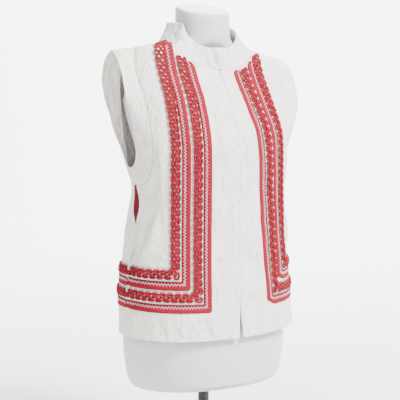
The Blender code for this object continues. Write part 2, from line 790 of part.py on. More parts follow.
def make_front_trim(name, side, panel, near, far, looped):
    """One trim down a front, round its mitred corner and along the hem to the side seam."""
    spacing = BRAID_PITCH / 2.0 if looped else 1.0
    near_corner = BAND_BOTTOM + near
    far_corner = BAND_BOTTOM + far
    top = trim_top(side, near, far)
    rows = [height for height in reversed(panel.heights) if far_corner < height < top]

    def down_the_leg(height):
        return panel.at(side * trim_angle(side, (near + far) / 2.0, height), height, 0.0)

    stations = []
    for step, height in enumerate(share_out([top] + rows, down_the_leg, spacing)):
        inset, rise = trim_shape(step, looped)
        stations.append(trim_outline(
            panel,
            (side * trim_edge(side, near + inset, height), height),
            (side * trim_edge(side, far - inset, height), height),
            rise))
    rise = trim_shape(1, looped)[1]
    for z_near, z_far, near_offset, far_offset in [
        (far_corner, far_corner + MITRE_STEP, near, far),
        (near_corner, far_corner, near, far),
        (near_corner, far_corner, far, far + MITRE_STEP),
    ]:
        stations.append(trim_outline(
            panel,
            (side * trim_angle(side, near_offset, z_near), z_near),
            (side * trim_angle(side, far_offset, z_far), z_far),
            rise))
    height = (near_corner + far_corner) / 2.0
    end = math.pi / 2.0 - side_turn(SEAM_GAP, height)
    start = trim_angle(side, far + MITRE_STEP, height)
    columns = panel.column_angles(height)
    stops = [start] + [a for a in columns if start + LEAST_TURN < a < end - LEAST_TURN] + [end]

    def along_the_hem(angle):
        return panel.at(side * angle, height, 0.0)

    for step, angle in enumerate(share_out(stops, along_the_hem, spacing)[1:]):
        inset, rise = trim_shape(step, looped)
        stations.append(trim_outline(
            panel,
            (side * angle, near_corner + inset),
            (side * angle, far_corner - inset),
            rise))
    add_object(name, bar_from_stations(stations), "red_braid")


def make_back_trim(name, panel, near, far, looped):
    """One trim along the back's hem, from side seam to side seam."""
    spacing = BRAID_PITCH / 2.0 if looped else 1.0
    height = BAND_BOTTOM + (near + far) / 2.0
    half = math.pi / 2.0 - side_turn(SEAM_GAP, BAND_BOTTOM, "back")
    start = math.pi - half
    end = math.pi + half
    columns = panel.column_angles(height)
    stops = [start] + [a for a in columns if start + LEAST_TURN < a < end - LEAST_TURN] + [end]

    def along_the_hem(angle):
        return panel.at(angle, height, 0.0)

    stations = []
    for step, angle in enumerate(share_out(stops, along_the_hem, spacing)):
        inset, rise = trim_shape(step, looped)
        stations.append(trim_outline(
            panel,
            (angle, BAND_BOTTOM + near + inset),
            (angle, BAND_BOTTOM + far - inset),
            rise))
    add_object(name, bar_from_stations(stations), "red_braid")


def make_form():
    """The dress form: one smooth body from the hips to the tilted neck cap."""
    builder = bmesh.new()
    rings = []
    for row in FORM_SECTIONS:
        section = dict(zip(FORM_COLUMNS, row))
        ring = []
        for step in range(FORM_SIDES):
            angle = 2.0 * math.pi * (step + 0.5) / FORM_SIDES
            x, y = section_point(section, angle)
            x = min(max(x, -ARM_PLATE_X), ARM_PLATE_X)
            z = section["height"] + section["slope"] * (y - section["centre_y"])
            ring.append(builder.verts.new((x, y, z)))
        rings.append(ring)
    for low, high in zip(rings, rings[1:]):
        for step in range(FORM_SIDES):
            other = (step + 1) % FORM_SIDES
            builder.faces.new((low[step], low[other], high[other], high[step]))
    builder.faces.new(rings[0])
    builder.faces.new(rings[-1])
    add_object("dress_form", builder, "white_form")


def make_disc(name, radius, low, high, sides, finish):
    bpy.ops.mesh.primitive_cylinder_add(
        vertices=sides, radius=radius, depth=high - low,
        location=(0.0, 0.0, (low + high) / 2.0))
    disc = bpy.context.object
    disc.name = name
    disc.data.name = name
    disc.data.shade_smooth()
    disc.data.set_sharp_from_angle(angle=math.radians(40))
    disc.data.materials.append(finish_material(finish))
    return disc


def make_stand():
    plate = make_disc("base_plate", PLATE_RADIUS, 0.0, PLATE_THICK, 48, "black_metal")
    edge = plate.modifiers.new("rounded_edge", "BEVEL")
    edge.width = PLATE_EDGE
    edge.segments = 1
    edge.limit_method = "ANGLE"
    make_disc("stand_pole", POLE_RADIUS, PLATE_THICK + POLE_GAP, POLE_TOP, 20, "black_metal")


def make_hook(panel):
    """The small black hook that holds the fronts together at the neck."""
    section = read_table(VEST_SECTIONS, SECTION_COLUMNS, HOOK_HEIGHT)
    power = section["squareness"] / 2.0
    angle = -math.asin((abs(HOOK_X) / section["half_width"]) ** power)
    seat = panel.at(angle, HOOK_HEIGHT, 0.0)
    normal = (panel.at(angle, HOOK_HEIGHT, HOOK_THICK) - seat).normalized()
    aside = normal.cross(Vector((0.0, 0.0, 1.0))).normalized()
    upward = aside.cross(normal).normalized()
    stations = []
    for share, radius in ((0.0, 1.0), (0.7, 1.0), (1.0, 0.6)):
        lift = TRIM_GAP + HOOK_THICK * share
        outline = []
        for step in range(8):
            turn = 2.0 * math.pi * step / 8
            spoke = aside * math.cos(turn) + upward * math.sin(turn)
            outline.append(seat + normal * lift + spoke * HOOK_RADIUS * radius)
        stations.append(outline)
    add_object("neck_hook", bar_from_stations(stations), "black_metal")


clear_scene()
make_stand()
make_form()
fronts = {"right": make_front("front_right", -1), "left": make_front("front_left", 1)}
back = make_back()
make_gusset("side_gusset_right", -1)
make_gusset("side_gusset_left", 1)
make_armhole_band("armhole_band_right", -1)
make_armhole_band("armhole_band_left", 1)
make_collar()
make_hook(fronts["right"])
for trim, near, far, looped in TRIM_ROWS:
    make_front_trim(trim + "_right", -1, fronts["right"], near, far, looped)
    make_front_trim(trim + "_left", 1, fronts["left"], near, far, looped)
    make_back_trim(trim + "_back", back, near, far, looped)
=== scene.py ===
"""The looks of a sleeveless folk vest on a limbless dress form.

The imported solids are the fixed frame. Cloth panels are rounded and creased copies of them,
and the looped cord and the tapes are laid along the solid strips they stand for.
"""

import math

import bmesh
import bpy
import numpy as np
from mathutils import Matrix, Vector, noise
from mathutils.bvhtree import BVHTree


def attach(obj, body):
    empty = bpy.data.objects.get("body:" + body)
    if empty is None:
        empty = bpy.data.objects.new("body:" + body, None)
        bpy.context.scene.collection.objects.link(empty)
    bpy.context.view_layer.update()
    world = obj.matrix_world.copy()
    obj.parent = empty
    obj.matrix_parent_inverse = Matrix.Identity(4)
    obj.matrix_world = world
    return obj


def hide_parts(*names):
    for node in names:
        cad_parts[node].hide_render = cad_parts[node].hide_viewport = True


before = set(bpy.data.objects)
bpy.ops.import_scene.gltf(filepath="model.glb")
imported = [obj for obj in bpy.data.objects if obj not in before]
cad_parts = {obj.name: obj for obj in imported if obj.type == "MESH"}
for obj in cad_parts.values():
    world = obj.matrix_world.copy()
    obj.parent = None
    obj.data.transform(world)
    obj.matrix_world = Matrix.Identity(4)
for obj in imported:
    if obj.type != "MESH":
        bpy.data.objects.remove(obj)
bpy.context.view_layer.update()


# The stand: a steel pole in a round plate, both powder coated black. The solids' shapes are
# right, so they stay and only get their finish. The coat is satin with a fine orange peel.

def linear(hex_colour):
    """An sRGB hex colour as linear red, green, blue and alpha."""
    shares = [int(hex_colour[place:place + 2], 16) / 255.0 for place in (1, 3, 5)]
    return [s / 12.92 if s <= 0.04045 else ((s + 0.055) / 1.055) ** 2.4 for s in shares] + [1.0]


def add_node(material, kind, settings, links):
    """A node with its settings, fed by the outputs that links names for its inputs."""
    node = material.node_tree.nodes.new(kind)
    for name, value in settings.items():
        if isinstance(name, int) or name in node.inputs:
            node.inputs[name].default_value = value
        else:
            setattr(node, name, value)
    for name, output in links.items():
        material.node_tree.links.new(output, node.inputs[name])
    return node


def new_material(name):
    """An empty node material with its shader."""
    material = bpy.data.materials.new(name)
    material.use_nodes = True
    return material, material.node_tree.nodes["Principled BSDF"]


COAT_BLACK = "#141416"
ORANGE_PEEL_MM = 1.2

powder_coat, shader = new_material("black_powder_coated_steel")
shader.inputs["Base Color"].default_value = linear(COAT_BLACK)
shader.inputs["Roughness"].default_value = 0.42
place = add_node(powder_coat, "ShaderNodeTexCoord", {}, {})
peel = add_node(powder_coat, "ShaderNodeTexNoise",
                {"Scale": 1000.0 / ORANGE_PEEL_MM, "Detail": 2.0}, {"Vector": place.outputs["Object"]})
bump = add_node(powder_coat, "ShaderNodeBump",
                {"Strength": 0.25, "Distance": 0.0002}, {"Height": peel.outputs["Fac"]})
powder_coat.node_tree.links.new(bump.outputs["Normal"], shader.inputs["Normal"])

for name in ("base_plate", "stand_pole"):
    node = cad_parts[name]
    node.data.materials.clear()
    node.data.materials.append(powder_coat)


# The dress form: a hollow fibreglass torso, sprayed white and rubbed smooth. It has a slanted
# neck cap and flat arm plates, whose rims stay crisp while the rest is rounded.

def copy_of_node(node_name, name):
    """A merged copy of a solid in quads, at the origin and free of the frame."""
    bpy.ops.object.select_all(action="DESELECT")
    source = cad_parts[node_name]
    source.select_set(True)
    bpy.context.view_layer.objects.active = source
    bpy.ops.object.duplicate()
    piece = bpy.context.object
    piece.name = name
    piece.data.name = name
    piece.parent = None
    for key in list(piece.keys()):
        del piece[key]
    piece.data.materials.clear()
    bpy.ops.object.mode_set(mode="EDIT")
    bpy.ops.mesh.customdata_custom_splitnormals_clear()
    bpy.ops.mesh.select_all(action="SELECT")
    bpy.ops.mesh.remove_doubles(threshold=0.00001)
    bpy.ops.mesh.tris_convert_to_quads(face_threshold=math.radians(40),
                                       shape_threshold=math.radians(70))
    bpy.ops.mesh.select_all(action="DESELECT")
    bpy.ops.object.mode_set(mode="OBJECT")
    bpy.ops.object.shade_smooth()
    return piece


RIM_CREASE = 0.6
SHADE_DEG = 42.0


def round_off(piece, levels, rim_degrees):
    """Subdivide a piece into a smooth surface, its rims kept where they turn this sharply."""
    bpy.ops.object.select_all(action="DESELECT")
    piece.select_set(True)
    bpy.context.view_layer.objects.active = piece
    bpy.ops.object.mode_set(mode="EDIT")
    bpy.ops.mesh.select_mode(type="EDGE")
    bpy.ops.mesh.select_all(action="DESELECT")
    bpy.ops.mesh.edges_select_sharp(sharpness=math.radians(rim_degrees))
    bpy.ops.transform.edge_crease(value=RIM_CREASE)
    bpy.ops.mesh.select_all(action="DESELECT")
    bpy.ops.object.mode_set(mode="OBJECT")
    rounding = piece.modifiers.new("rounding", "SUBSURF")
    rounding.levels = levels
    rounding.render_levels = levels
    bpy.ops.object.modifier_apply(modifier=rounding.name)
    bpy.ops.object.shade_smooth_by_angle(angle=math.radians(SHADE_DEG))


FORM_WHITE = "#CFCDD0"
FORM_SHADE = "#C6C3C7"
FORM_LEVELS = 3
FORM_RIM_DEG = 28.0
FORM_CLOUD_MM = 143.0
SPRAY_MM = 2.38

form = copy_of_node("dress_form", "white_dress_form")
round_off(form, FORM_LEVELS, FORM_RIM_DEG)

fibreglass, shader = new_material("white_sprayed_fibreglass")
place = add_node(fibreglass, "ShaderNodeTexCoord", {}, {})
clouds = add_node(fibreglass, "ShaderNodeTexNoise",
                  {"Scale": 1000.0 / FORM_CLOUD_MM, "Detail": 3.0},
                  {"Vector": place.outputs["Object"]})
tint = add_node(fibreglass, "ShaderNodeMix",
                {"data_type": "RGBA", 6: linear(FORM_WHITE), 7: linear(FORM_SHADE)},
                {0: clouds.outputs["Fac"]})
spray = add_node(fibreglass, "ShaderNodeTexNoise",
                 {"Scale": 1000.0 / SPRAY_MM, "Detail": 2.0}, {"Vector": place.outputs["Object"]})
bump = add_node(fibreglass, "ShaderNodeBump",
                {"Strength": 0.12, "Distance": 0.0002}, {"Height": spray.outputs["Fac"]})
fibreglass.node_tree.links.new(tint.outputs[2], shader.inputs["Base Color"])
fibreglass.node_tree.links.new(bump.outputs["Normal"], shader.inputs["Normal"])
shader.inputs["Roughness"].default_value = 0.38
shader.inputs["Coat Weight"].default_value = 0.15
shader.inputs["Coat Roughness"].default_value = 0.25
form.data.materials.append(fibreglass)
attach(form, "root")
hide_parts("dress_form")


# The body cloth: two fronts and a back in undyed cotton, plain woven with uneven threads, so
# it is matt with faint slubs. It hangs from the shoulders, creases into the waist and stands
# off the form below.

def ease(value, low, high):
    """0 below low, 1 above high, smooth between."""
    t = min(max((value - low) / (high - low), 0.0), 1.0)
    return t * t * (3.0 - 2.0 * t)


CREASES = [
    # from and to, as degrees round from the centre front (the wearer's left positive) and
    # height, then the width and how far it stands out
    # right side, from the braid down to the hem band
    (-69, 0.500, -84, 0.383, 0.0050, -0.0070),
    (-65, 0.470, -79, 0.378, 0.0080, 0.0065),
    (-88, 0.470, -86, 0.375, 0.0070, -0.0055),
    (-92, 0.450, -95, 0.385, 0.0100, 0.0045),
    (-64, 0.560, -76, 0.490, 0.0075, -0.0042),
    (-62, 0.625, -66, 0.520, 0.0090, 0.0030),
    (-78, 0.555, -68, 0.600, 0.0060, -0.0030),
    # right front, between the opening and the braid
    (-7, 0.690, -7, 0.500, 0.0050, -0.0022),
    (-22, 0.710, -14, 0.580, 0.0100, 0.0028),
    (-16, 0.620, -20, 0.520, 0.0080, -0.0022),
    (-10, 0.480, -19, 0.380, 0.0100, -0.0032),
    (-20, 0.440, -8, 0.330, 0.0110, 0.0032),
    (-5, 0.395, -19, 0.405, 0.0060, -0.0010),
    (-4, 0.742, -12, 0.700, 0.0045, -0.0024),
    (-13, 0.744, -8, 0.690, 0.0060, 0.0018),
    # left front
    (9, 0.560, 11, 0.430, 0.0090, -0.0040),
    (17, 0.520, 14, 0.360, 0.0110, 0.0040),
    (8, 0.420, 20, 0.330, 0.0100, -0.0034),
    (12, 0.640, 8, 0.560, 0.0090, 0.0026),
    (4, 0.742, 14, 0.700, 0.0050, 0.0020),
    (9, 0.738, 5, 0.690, 0.0045, -0.0020),
    # left side
    (68, 0.500, 82, 0.385, 0.0080, -0.0050),
    (64, 0.460, 78, 0.380, 0.0110, 0.0040),
    (88, 0.460, 87, 0.375, 0.0080, -0.0040),
    (63, 0.600, 70, 0.510, 0.0100, 0.0024),
    (74, 0.560, 66, 0.610, 0.0070, -0.0022),
    # back
    (-150, 0.640, -160, 0.400, 0.0150, -0.0045),
    (-138, 0.560, -146, 0.390, 0.0130, 0.0040),
    (-118, 0.540, -110, 0.400, 0.0110, -0.0040),
    (-104, 0.520, -108, 0.390, 0.0100, 0.0035),
    (-172, 0.660, -175, 0.430, 0.0160, 0.0040),
    (168, 0.600, 172, 0.400, 0.0130, -0.0042),
    (152, 0.620, 160, 0.400, 0.0150, 0.0042),
    (138, 0.580, 143, 0.390, 0.0120, -0.0038),
    (120, 0.530, 114, 0.400, 0.0120, 0.0040),
    (104, 0.510, 107, 0.390, 0.0100, -0.0035),
    (-160, 0.770, -130, 0.700, 0.0140, -0.0020),
    (160, 0.765, 132, 0.700, 0.0140, 0.0020),
    # hem
    (-80, 0.300, -81, 0.236, 0.0100, 0.0040),
    (-64, 0.292, -61, 0.236, 0.0070, -0.0038),
    (-47, 0.296, -49, 0.236, 0.0080, 0.0030),
    (-33, 0.290, -31, 0.236, 0.0070, -0.0030),
    (-17, 0.292, -19, 0.236, 0.0080, 0.0026),
    (14, 0.290, 17, 0.236, 0.0090, -0.0020),
    (33, 0.294, 30, 0.236, 0.0100, 0.0018),
    (57, 0.292, 60, 0.236, 0.0100, -0.0024),
    (78, 0.296, 80, 0.236, 0.0110, 0.0028),
    (104, 0.300, 101, 0.236, 0.0120, -0.0028),
    (128, 0.296, 131, 0.236, 0.0130, 0.0026),
    (156, 0.300, 153, 0.236, 0.0130, -0.0026),
    (-176, 0.298, -178, 0.236, 0.0140, 0.0026),
    (-149, 0.296, -152, 0.236, 0.0130, -0.0028),
    (-124, 0.300, -121, 0.236, 0.0120, 0.0028),
    (-103, 0.294, -105, 0.236, 0.0110, -0.0024),
]
BODY_RADIUS = 0.150
SHOULDER_FROM = 0.735
SHOULDER_FULL = 0.770
CREASE_START = -0.1     # a crease rises from this share of its line
CREASE_UP = 0.35        # to this one,
CREASE_SINKS = 0.65     # and sinks from this one
CREASE_END = 1.1        # to this one
CREASE_REACH = 3.0      # and this many widths aside the cloth is flat
CRUMPLE = 0.0013
CRUMPLES_PER_METRE = 26.0
SIDEWAYS = 0.75         # the vest is broader than it is deep
MIDDLE_Y = -0.008


def relief(point):
    """How far the creases push the cloth out at a point of the vest."""
    angle = math.atan2(point.x, -point.y)
    total = 0.0
    for angle_a, height_a, angle_b, height_b, width, rise in CREASES:
        run_x = math.radians(angle_b - angle_a) * BODY_RADIUS
        run_z = height_b - height_a
        turn = (angle - math.radians(angle_a) + math.pi) % (2.0 * math.pi) - math.pi
        here_x = turn * BODY_RADIUS
        here_z = point.z - height_a
        length = math.hypot(run_x, run_z)
        along = (here_x * run_x + here_z * run_z) / length**2
        if not CREASE_START < along < CREASE_END:
            continue
        aside = abs(here_x * run_z - here_z * run_x) / length
        if aside > CREASE_REACH * width:
            continue
        taper = (ease(along, CREASE_START, CREASE_UP)
                 * (1.0 - ease(along, CREASE_SINKS, CREASE_END)))
        total += rise * taper * math.exp(-((aside / width) ** 2))
    total += CRUMPLE * noise.noise(point * CRUMPLES_PER_METRE)
    return total * (1.0 - ease(point.z, SHOULDER_FROM, SHOULDER_FULL))


def outward(point):
    """The level direction away from the vest's middle."""
    return Vector((point.x * SIDEWAYS, point.y - MIDDLE_Y, 0.0)).normalized()


def crease(piece):
    """Move a piece's points by the creases and lay out its flat cloth coordinates in metres."""
    for vertex in piece.data.vertices:
        vertex.co += outward(vertex.co) * relief(vertex.co)
    flat = piece.data.uv_layers.new(name="cloth")
    for face in piece.data.polygons:
        middle = math.atan2(face.center.x, -face.center.y)
        for corner in face.loop_indices:
            point = piece.data.vertices[piece.data.loops[corner].vertex_index].co
            angle = math.atan2(point.x, -point.y)
            if angle - middle > math.pi:
                angle -= 2.0 * math.pi
            if middle - angle > math.pi:
                angle += 2.0 * math.pi
            flat.data[corner].uv = (angle * BODY_RADIUS, point.z)


COTTON = "#F3EFE6"
COTTON_SHADE = "#E4DED2"
CLOTH_LEVELS = 2
CLOTH_RIM_DEG = 55.0
STRAIGHT_BANDS = 1000.0 * 2.0 * math.pi / 20.0      # a wave texture's Scale for bands 1 mm apart
DIAGONAL_BANDS = STRAIGHT_BANDS * math.sqrt(2.0)    # and for slanting ones
THREAD_MM = 5.655   # the real threads are about 0.4 mm apart, drawn far coarser so that they show
SLUB_MM = 2.2
RUMPLE_MM = 22.73
COTTON_CLOUD_MM = 90.9

cotton, shader = new_material("undyed_woven_cotton")
flat = add_node(cotton, "ShaderNodeUVMap", {"uv_map": "cloth"}, {})
place = add_node(cotton, "ShaderNodeTexCoord", {}, {})
warp = add_node(cotton, "ShaderNodeTexWave",
                {"bands_direction": "X", "Scale": STRAIGHT_BANDS / THREAD_MM, "Distortion": 0.6,
                 "Detail": 1.0, "Detail Scale": 1.5}, {"Vector": flat.outputs["UV"]})
weft = add_node(cotton, "ShaderNodeTexWave",
                {"bands_direction": "Y", "Scale": STRAIGHT_BANDS / THREAD_MM, "Distortion": 0.6,
                 "Detail": 1.0, "Detail Scale": 1.5}, {"Vector": flat.outputs["UV"]})
threads = add_node(cotton, "ShaderNodeMath", {"operation": "ADD"},
                   {0: warp.outputs["Fac"], 1: weft.outputs["Fac"]})
stretch = add_node(cotton, "ShaderNodeMapping", {"Scale": (1.0, 0.12, 1.0)},
                   {"Vector": flat.outputs["UV"]})
slubs = add_node(cotton, "ShaderNodeTexNoise",
                 {"Scale": 1000.0 / SLUB_MM, "Detail": 2.0}, {"Vector": stretch.outputs["Vector"]})
upright = add_node(cotton, "ShaderNodeMapping", {"Scale": (1.0, 1.0, 0.45)},
                   {"Vector": place.outputs["Object"]})
rumple = add_node(cotton, "ShaderNodeTexNoise",
                  {"Scale": 1000.0 / RUMPLE_MM, "Detail": 4.0, "Roughness": 0.6, "Distortion": 0.8},
                  {"Vector": upright.outputs["Vector"]})
clouds = add_node(cotton, "ShaderNodeTexNoise",
                  {"Scale": 1000.0 / COTTON_CLOUD_MM, "Detail": 4.0},
                  {"Vector": place.outputs["Object"]})
tint = add_node(cotton, "ShaderNodeMix",
                {"data_type": "RGBA", 6: linear(COTTON), 7: linear(COTTON_SHADE)},
                {0: clouds.outputs["Fac"]})
weave = add_node(cotton, "ShaderNodeBump", {"Strength": 0.5, "Distance": 0.00012},
                 {"Height": threads.outputs["Value"]})
slubbed = add_node(cotton, "ShaderNodeBump", {"Strength": 0.5, "Distance": 0.00025},
                   {"Height": slubs.outputs["Fac"], "Normal": weave.outputs["Normal"]})
rumpled = add_node(cotton, "ShaderNodeBump", {"Strength": 1.0, "Distance": 0.012},
                   {"Height": rumple.outputs["Fac"], "Normal": slubbed.outputs["Normal"]})
cotton.node_tree.links.new(tint.outputs[2], shader.inputs["Base Color"])
cotton.node_tree.links.new(rumpled.outputs["Normal"], shader.inputs["Normal"])
shader.inputs["Roughness"].default_value = 0.86
shader.inputs["Sheen Weight"].default_value = 0.12
shader.inputs["Sheen Roughness"].default_value = 0.5

panels = {}
for node_name, name in (("front_right", "cloth_front_right"), ("front_left", "cloth_front_left"),
                        ("back", "cloth_back")):
    panel = copy_of_node(node_name, name)
    round_off(panel, CLOTH_LEVELS, CLOTH_RIM_DEG)
    crease(panel)
    panel.data.materials.append(cotton)
    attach(panel, "root")
    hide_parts(node_name)
    panels[node_name] = panel


# The red gussets: a small lozenge of thick dark red cloth let into each side seam under the
# arm. They give the close waist its ease, and show only as a sliver below the armhole.

GUSSET_RED = "#66081A"
GUSSET_RED_DARK = "#500614"
RIB_MM = 14.22      # far coarser than a real rib of about 1.5 mm
NAP_MM = 3.85

red_cloth, shader = new_material("dark_red_fulled_wool")
flat = add_node(red_cloth, "ShaderNodeUVMap", {"uv_map": "cloth"}, {})
place = add_node(red_cloth, "ShaderNodeTexCoord", {}, {})
nap = add_node(red_cloth, "ShaderNodeTexNoise",
               {"Scale": 1000.0 / NAP_MM, "Detail": 4.0}, {"Vector": place.outputs["Object"]})
ribs = add_node(red_cloth, "ShaderNodeTexWave",
                {"bands_direction": "DIAGONAL", "Scale": DIAGONAL_BANDS / RIB_MM, "Distortion": 1.2},
                {"Vector": flat.outputs["UV"]})
tint = add_node(red_cloth, "ShaderNodeMix",
                {"data_type": "RGBA", 6: linear(GUSSET_RED), 7: linear(GUSSET_RED_DARK)},
                {0: nap.outputs["Fac"]})
ribbed = add_node(red_cloth, "ShaderNodeBump", {"Strength": 0.5, "Distance": 0.0003},
                  {"Height": ribs.outputs["Fac"]})
napped = add_node(red_cloth, "ShaderNodeBump", {"Strength": 0.5, "Distance": 0.0004},
                  {"Height": nap.outputs["Fac"], "Normal": ribbed.outputs["Normal"]})
red_cloth.node_tree.links.new(tint.outputs[2], shader.inputs["Base Color"])
red_cloth.node_tree.links.new(napped.outputs["Normal"], shader.inputs["Normal"])
shader.inputs["Roughness"].default_value = 0.9
shader.inputs["Specular IOR Level"].default_value = 0.25

for side in ("right", "left"):
    gusset = copy_of_node("side_gusset_" + side, "red_gusset_" + side)
    round_off(gusset, CLOTH_LEVELS, CLOTH_RIM_DEG)
    crease(gusset)
    gusset.data.materials.append(red_cloth)
    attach(gusset, "root")
    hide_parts("side_gusset_" + side)


# The stand collar: a doubled band of the same cotton, unstiffened, so it leans in and puckers
# at the hook where the two ends draw together.

PUCKER_ROUNDING = 0.7


def pull(point, start, end, width, rise):
    """How far one pucker pushes the cloth out at a point, from start to end in front view."""
    run = Vector((end[0] - start[0], end[1] - start[1]))
    here = Vector((point.x - start[0], point.z - start[1]))
    along = here.dot(run) / run.length_squared
    if point.y > 0 or not 0.0 < along < 1.0:
        return 0.0
    aside = (here - run * along).length
    taper = math.sin(math.pi * along) ** PUCKER_ROUNDING
    return rise * taper * math.exp(-((aside / width) ** 2))


PUCKERS = [
    # start and end as x and height, width, how far it stands out
    ((-0.003, 0.745), (-0.020, 0.787), 0.0032, -0.0034),
    ((-0.002, 0.746), (-0.010, 0.790), 0.0030, 0.0030),
    ((-0.006, 0.744), (-0.034, 0.778), 0.0040, 0.0024),
    ((0.003, 0.746), (0.010, 0.788), 0.0034, 0.0032),
    ((0.004, 0.745), (0.022, 0.782), 0.0036, -0.0028),
    ((0.006, 0.744), (0.034, 0.774), 0.0040, 0.0020),
    ((-0.070, 0.806), (-0.074, 0.834), 0.0050, 0.0020),
    ((-0.058, 0.792), (-0.050, 0.818), 0.0060, -0.0018),
    ((0.056, 0.770), (0.050, 0.800), 0.0050, 0.0018),
]
COLLAR_CRUMPLE = 0.0009
COLLAR_CRUMPLES_PER_METRE = 45.0

collar = copy_of_node("collar", "cloth_stand_collar")
bpy.ops.object.mode_set(mode="EDIT")
bpy.ops.mesh.select_all(action="SELECT")
bpy.ops.mesh.subdivide(number_cuts=1)
bpy.ops.mesh.select_all(action="DESELECT")
bpy.ops.object.mode_set(mode="OBJECT")
round_off(collar, CLOTH_LEVELS, CLOTH_RIM_DEG)
crease(collar)
for vertex in collar.data.vertices:
    rise = sum(pull(vertex.co, *pucker) for pucker in PUCKERS)
    rise += COLLAR_CRUMPLE * noise.noise(vertex.co * COLLAR_CRUMPLES_PER_METRE)
    vertex.co += outward(vertex.co) * rise
collar.data.materials.append(cotton)
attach(collar, "root")
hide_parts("collar")


# The armhole bands: wide doubled bands of the same cotton, cut in a curve and set round each
# armhole. They stand out past the shoulder like a cap, and dip softly under the arm.

BAND_DENTS = [
    # height, depth in y, width, how far it stands out
    (0.745, -0.030, 0.013, -0.0022),
    (0.690, -0.045, 0.016, 0.0020),
    (0.640, -0.040, 0.012, -0.0018),
    (0.600, -0.030, 0.011, 0.0020),
    (0.720, 0.040, 0.015, 0.0020),
    (0.660, 0.046, 0.014, -0.0020),
    (0.585, 0.020, 0.010, -0.0018),
]
DENTS_FROM = 0.165      # how far aside the dents start
DENTS_RISE = 0.030      # and how much further out they are full

for side, turn in (("right", -1.0), ("left", 1.0)):
    band = copy_of_node("armhole_band_" + side, "cloth_armhole_band_" + side)
    round_off(band, CLOTH_LEVELS, CLOTH_RIM_DEG)
    crease(band)
    for vertex in band.data.vertices:
        rise = 0.0
        for height, depth, width, out in BAND_DENTS:
            away = math.hypot(vertex.co.z - height, vertex.co.y - depth)
            rise += out * math.exp(-((away / width) ** 2))
        reach = min(max((abs(vertex.co.x) - DENTS_FROM) / DENTS_RISE, 0.0), 1.0)
        vertex.co.x += turn * rise * reach
    band.data.materials.append(cotton)
    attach(band, "root")
    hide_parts("armhole_band_" + side)


# The looped cord: a plump twisted cord of red wool, laid in a chain of figures of eight and
# couched down. Each strip's lobes cross at its middle, and a fine picot thread bows out along
# its far edge. The strip's solid gives its line, and the creased cloth gives its seat.

RAY_START = 0.45
HALVINGS = 12
SCAN_FROM = 0.05        # a front's strips lie between these angles
SCAN_TO = 1.56
SCAN_STEP = math.radians(0.5)
HEM_LOW = 0.275         # and every strip's hem run between these heights
HEM_HIGH = 0.42
FINE_STEP = 0.001
SEAM_INSET = 0.003
STRIP_TOP = 0.815
NARROWEST = 0.004       # a strip starts where it is this wide
LEG_STEP = 0.004
CORNER_ROOM = 0.010     # the leg ends this far above the hem run
CORNER_TURNS = 5
PAST_CORNER = 0.01
WELL_PAST_CORNER = 0.03
FRONT_HEM_STATIONS = 24
BACK_HEM_STATIONS = 130
SEAM_RUN = 0.018        # a trim runs this angle past its solid's end, into the side seam
NORMAL_ROUNDS = 3
ARCH = 0.0004           # a strip follows the round of the body between its edges

# Where a hem run ends: an angle well along it, one near its end, and one past its end
FRONT_END = [math.radians(angle) for angle in (75.0, 80.0, 94.0)]
BACK_START = [math.radians(angle) for angle in (105.0, 100.0, 86.0)]
BACK_END = [math.radians(angle) for angle in (255.0, 260.0, 274.0)]


def tree_of(piece):
    """A piece's surface, ready to be met by lines."""
    shape = bmesh.new()
    shape.from_mesh(piece.data)
    tree = BVHTree.FromBMesh(shape)
    shape.free()
    return tree


def touch(tree, angle, height):
    """Where a level line towards the vest's middle meets a surface, and its normal there."""
    away = Vector((math.sin(angle), -math.cos(angle), 0.0))
    start = Vector((0.0, 0.0, height)) + away * RAY_START
    place, normal = tree.ray_cast(start, -away, RAY_START)[:2]
    return None if place is None else (place, normal)


def last_met(meets, inside, outside):
    """The last place that still meets the strip, between one that does and one that doesn't."""
    for step in range(HALVINGS):
        middle = (inside + outside) / 2.0
        if meets(middle):
            inside = middle
        else:
            outside = middle
    return inside


def level_span(strip, side, height):
    """A strip's near and far edges at a height, as angles from the centre front."""
    met = [angle for angle in np.arange(SCAN_FROM, SCAN_TO, SCAN_STEP)
           if touch(strip, side * angle, height)]
    if not met:
        return None

    def meets(angle):
        return touch(strip, side * angle, height)

    return (last_met(meets, met[0], met[0] - SCAN_STEP),
            last_met(meets, met[-1], met[-1] + SCAN_STEP))


def hem_span(strip, angle):
    """A strip's lower and upper edges at an angle along the hem."""
    met = []
    for height in np.arange(HEM_LOW, HEM_HIGH, FINE_STEP):
        if touch(strip, angle, height):
            met.append(height)
        elif met:
            break

    def meets(height):
        return touch(strip, angle, height)

    return (last_met(meets, met[0], met[0] - FINE_STEP),
            last_met(meets, met[-1], met[-1] + FINE_STEP))


def seam_ends(strip, angle, inside, outside):
    """The angles where a strip's lower and upper edges meet the side seam."""
    low, high = hem_span(strip, angle)
    return [last_met(lambda a: touch(strip, a, height), inside, outside)
            for height in (low + SEAM_INSET, high - SEAM_INSET)]


def hem_pair(strip, low_angle, high_angle):
    """A lower and an upper place along a hem, at their own angles."""
    low = hem_span(strip, low_angle)[0]
    high = hem_span(strip, high_angle)[1]
    return ((low_angle, low), (high_angle, high))


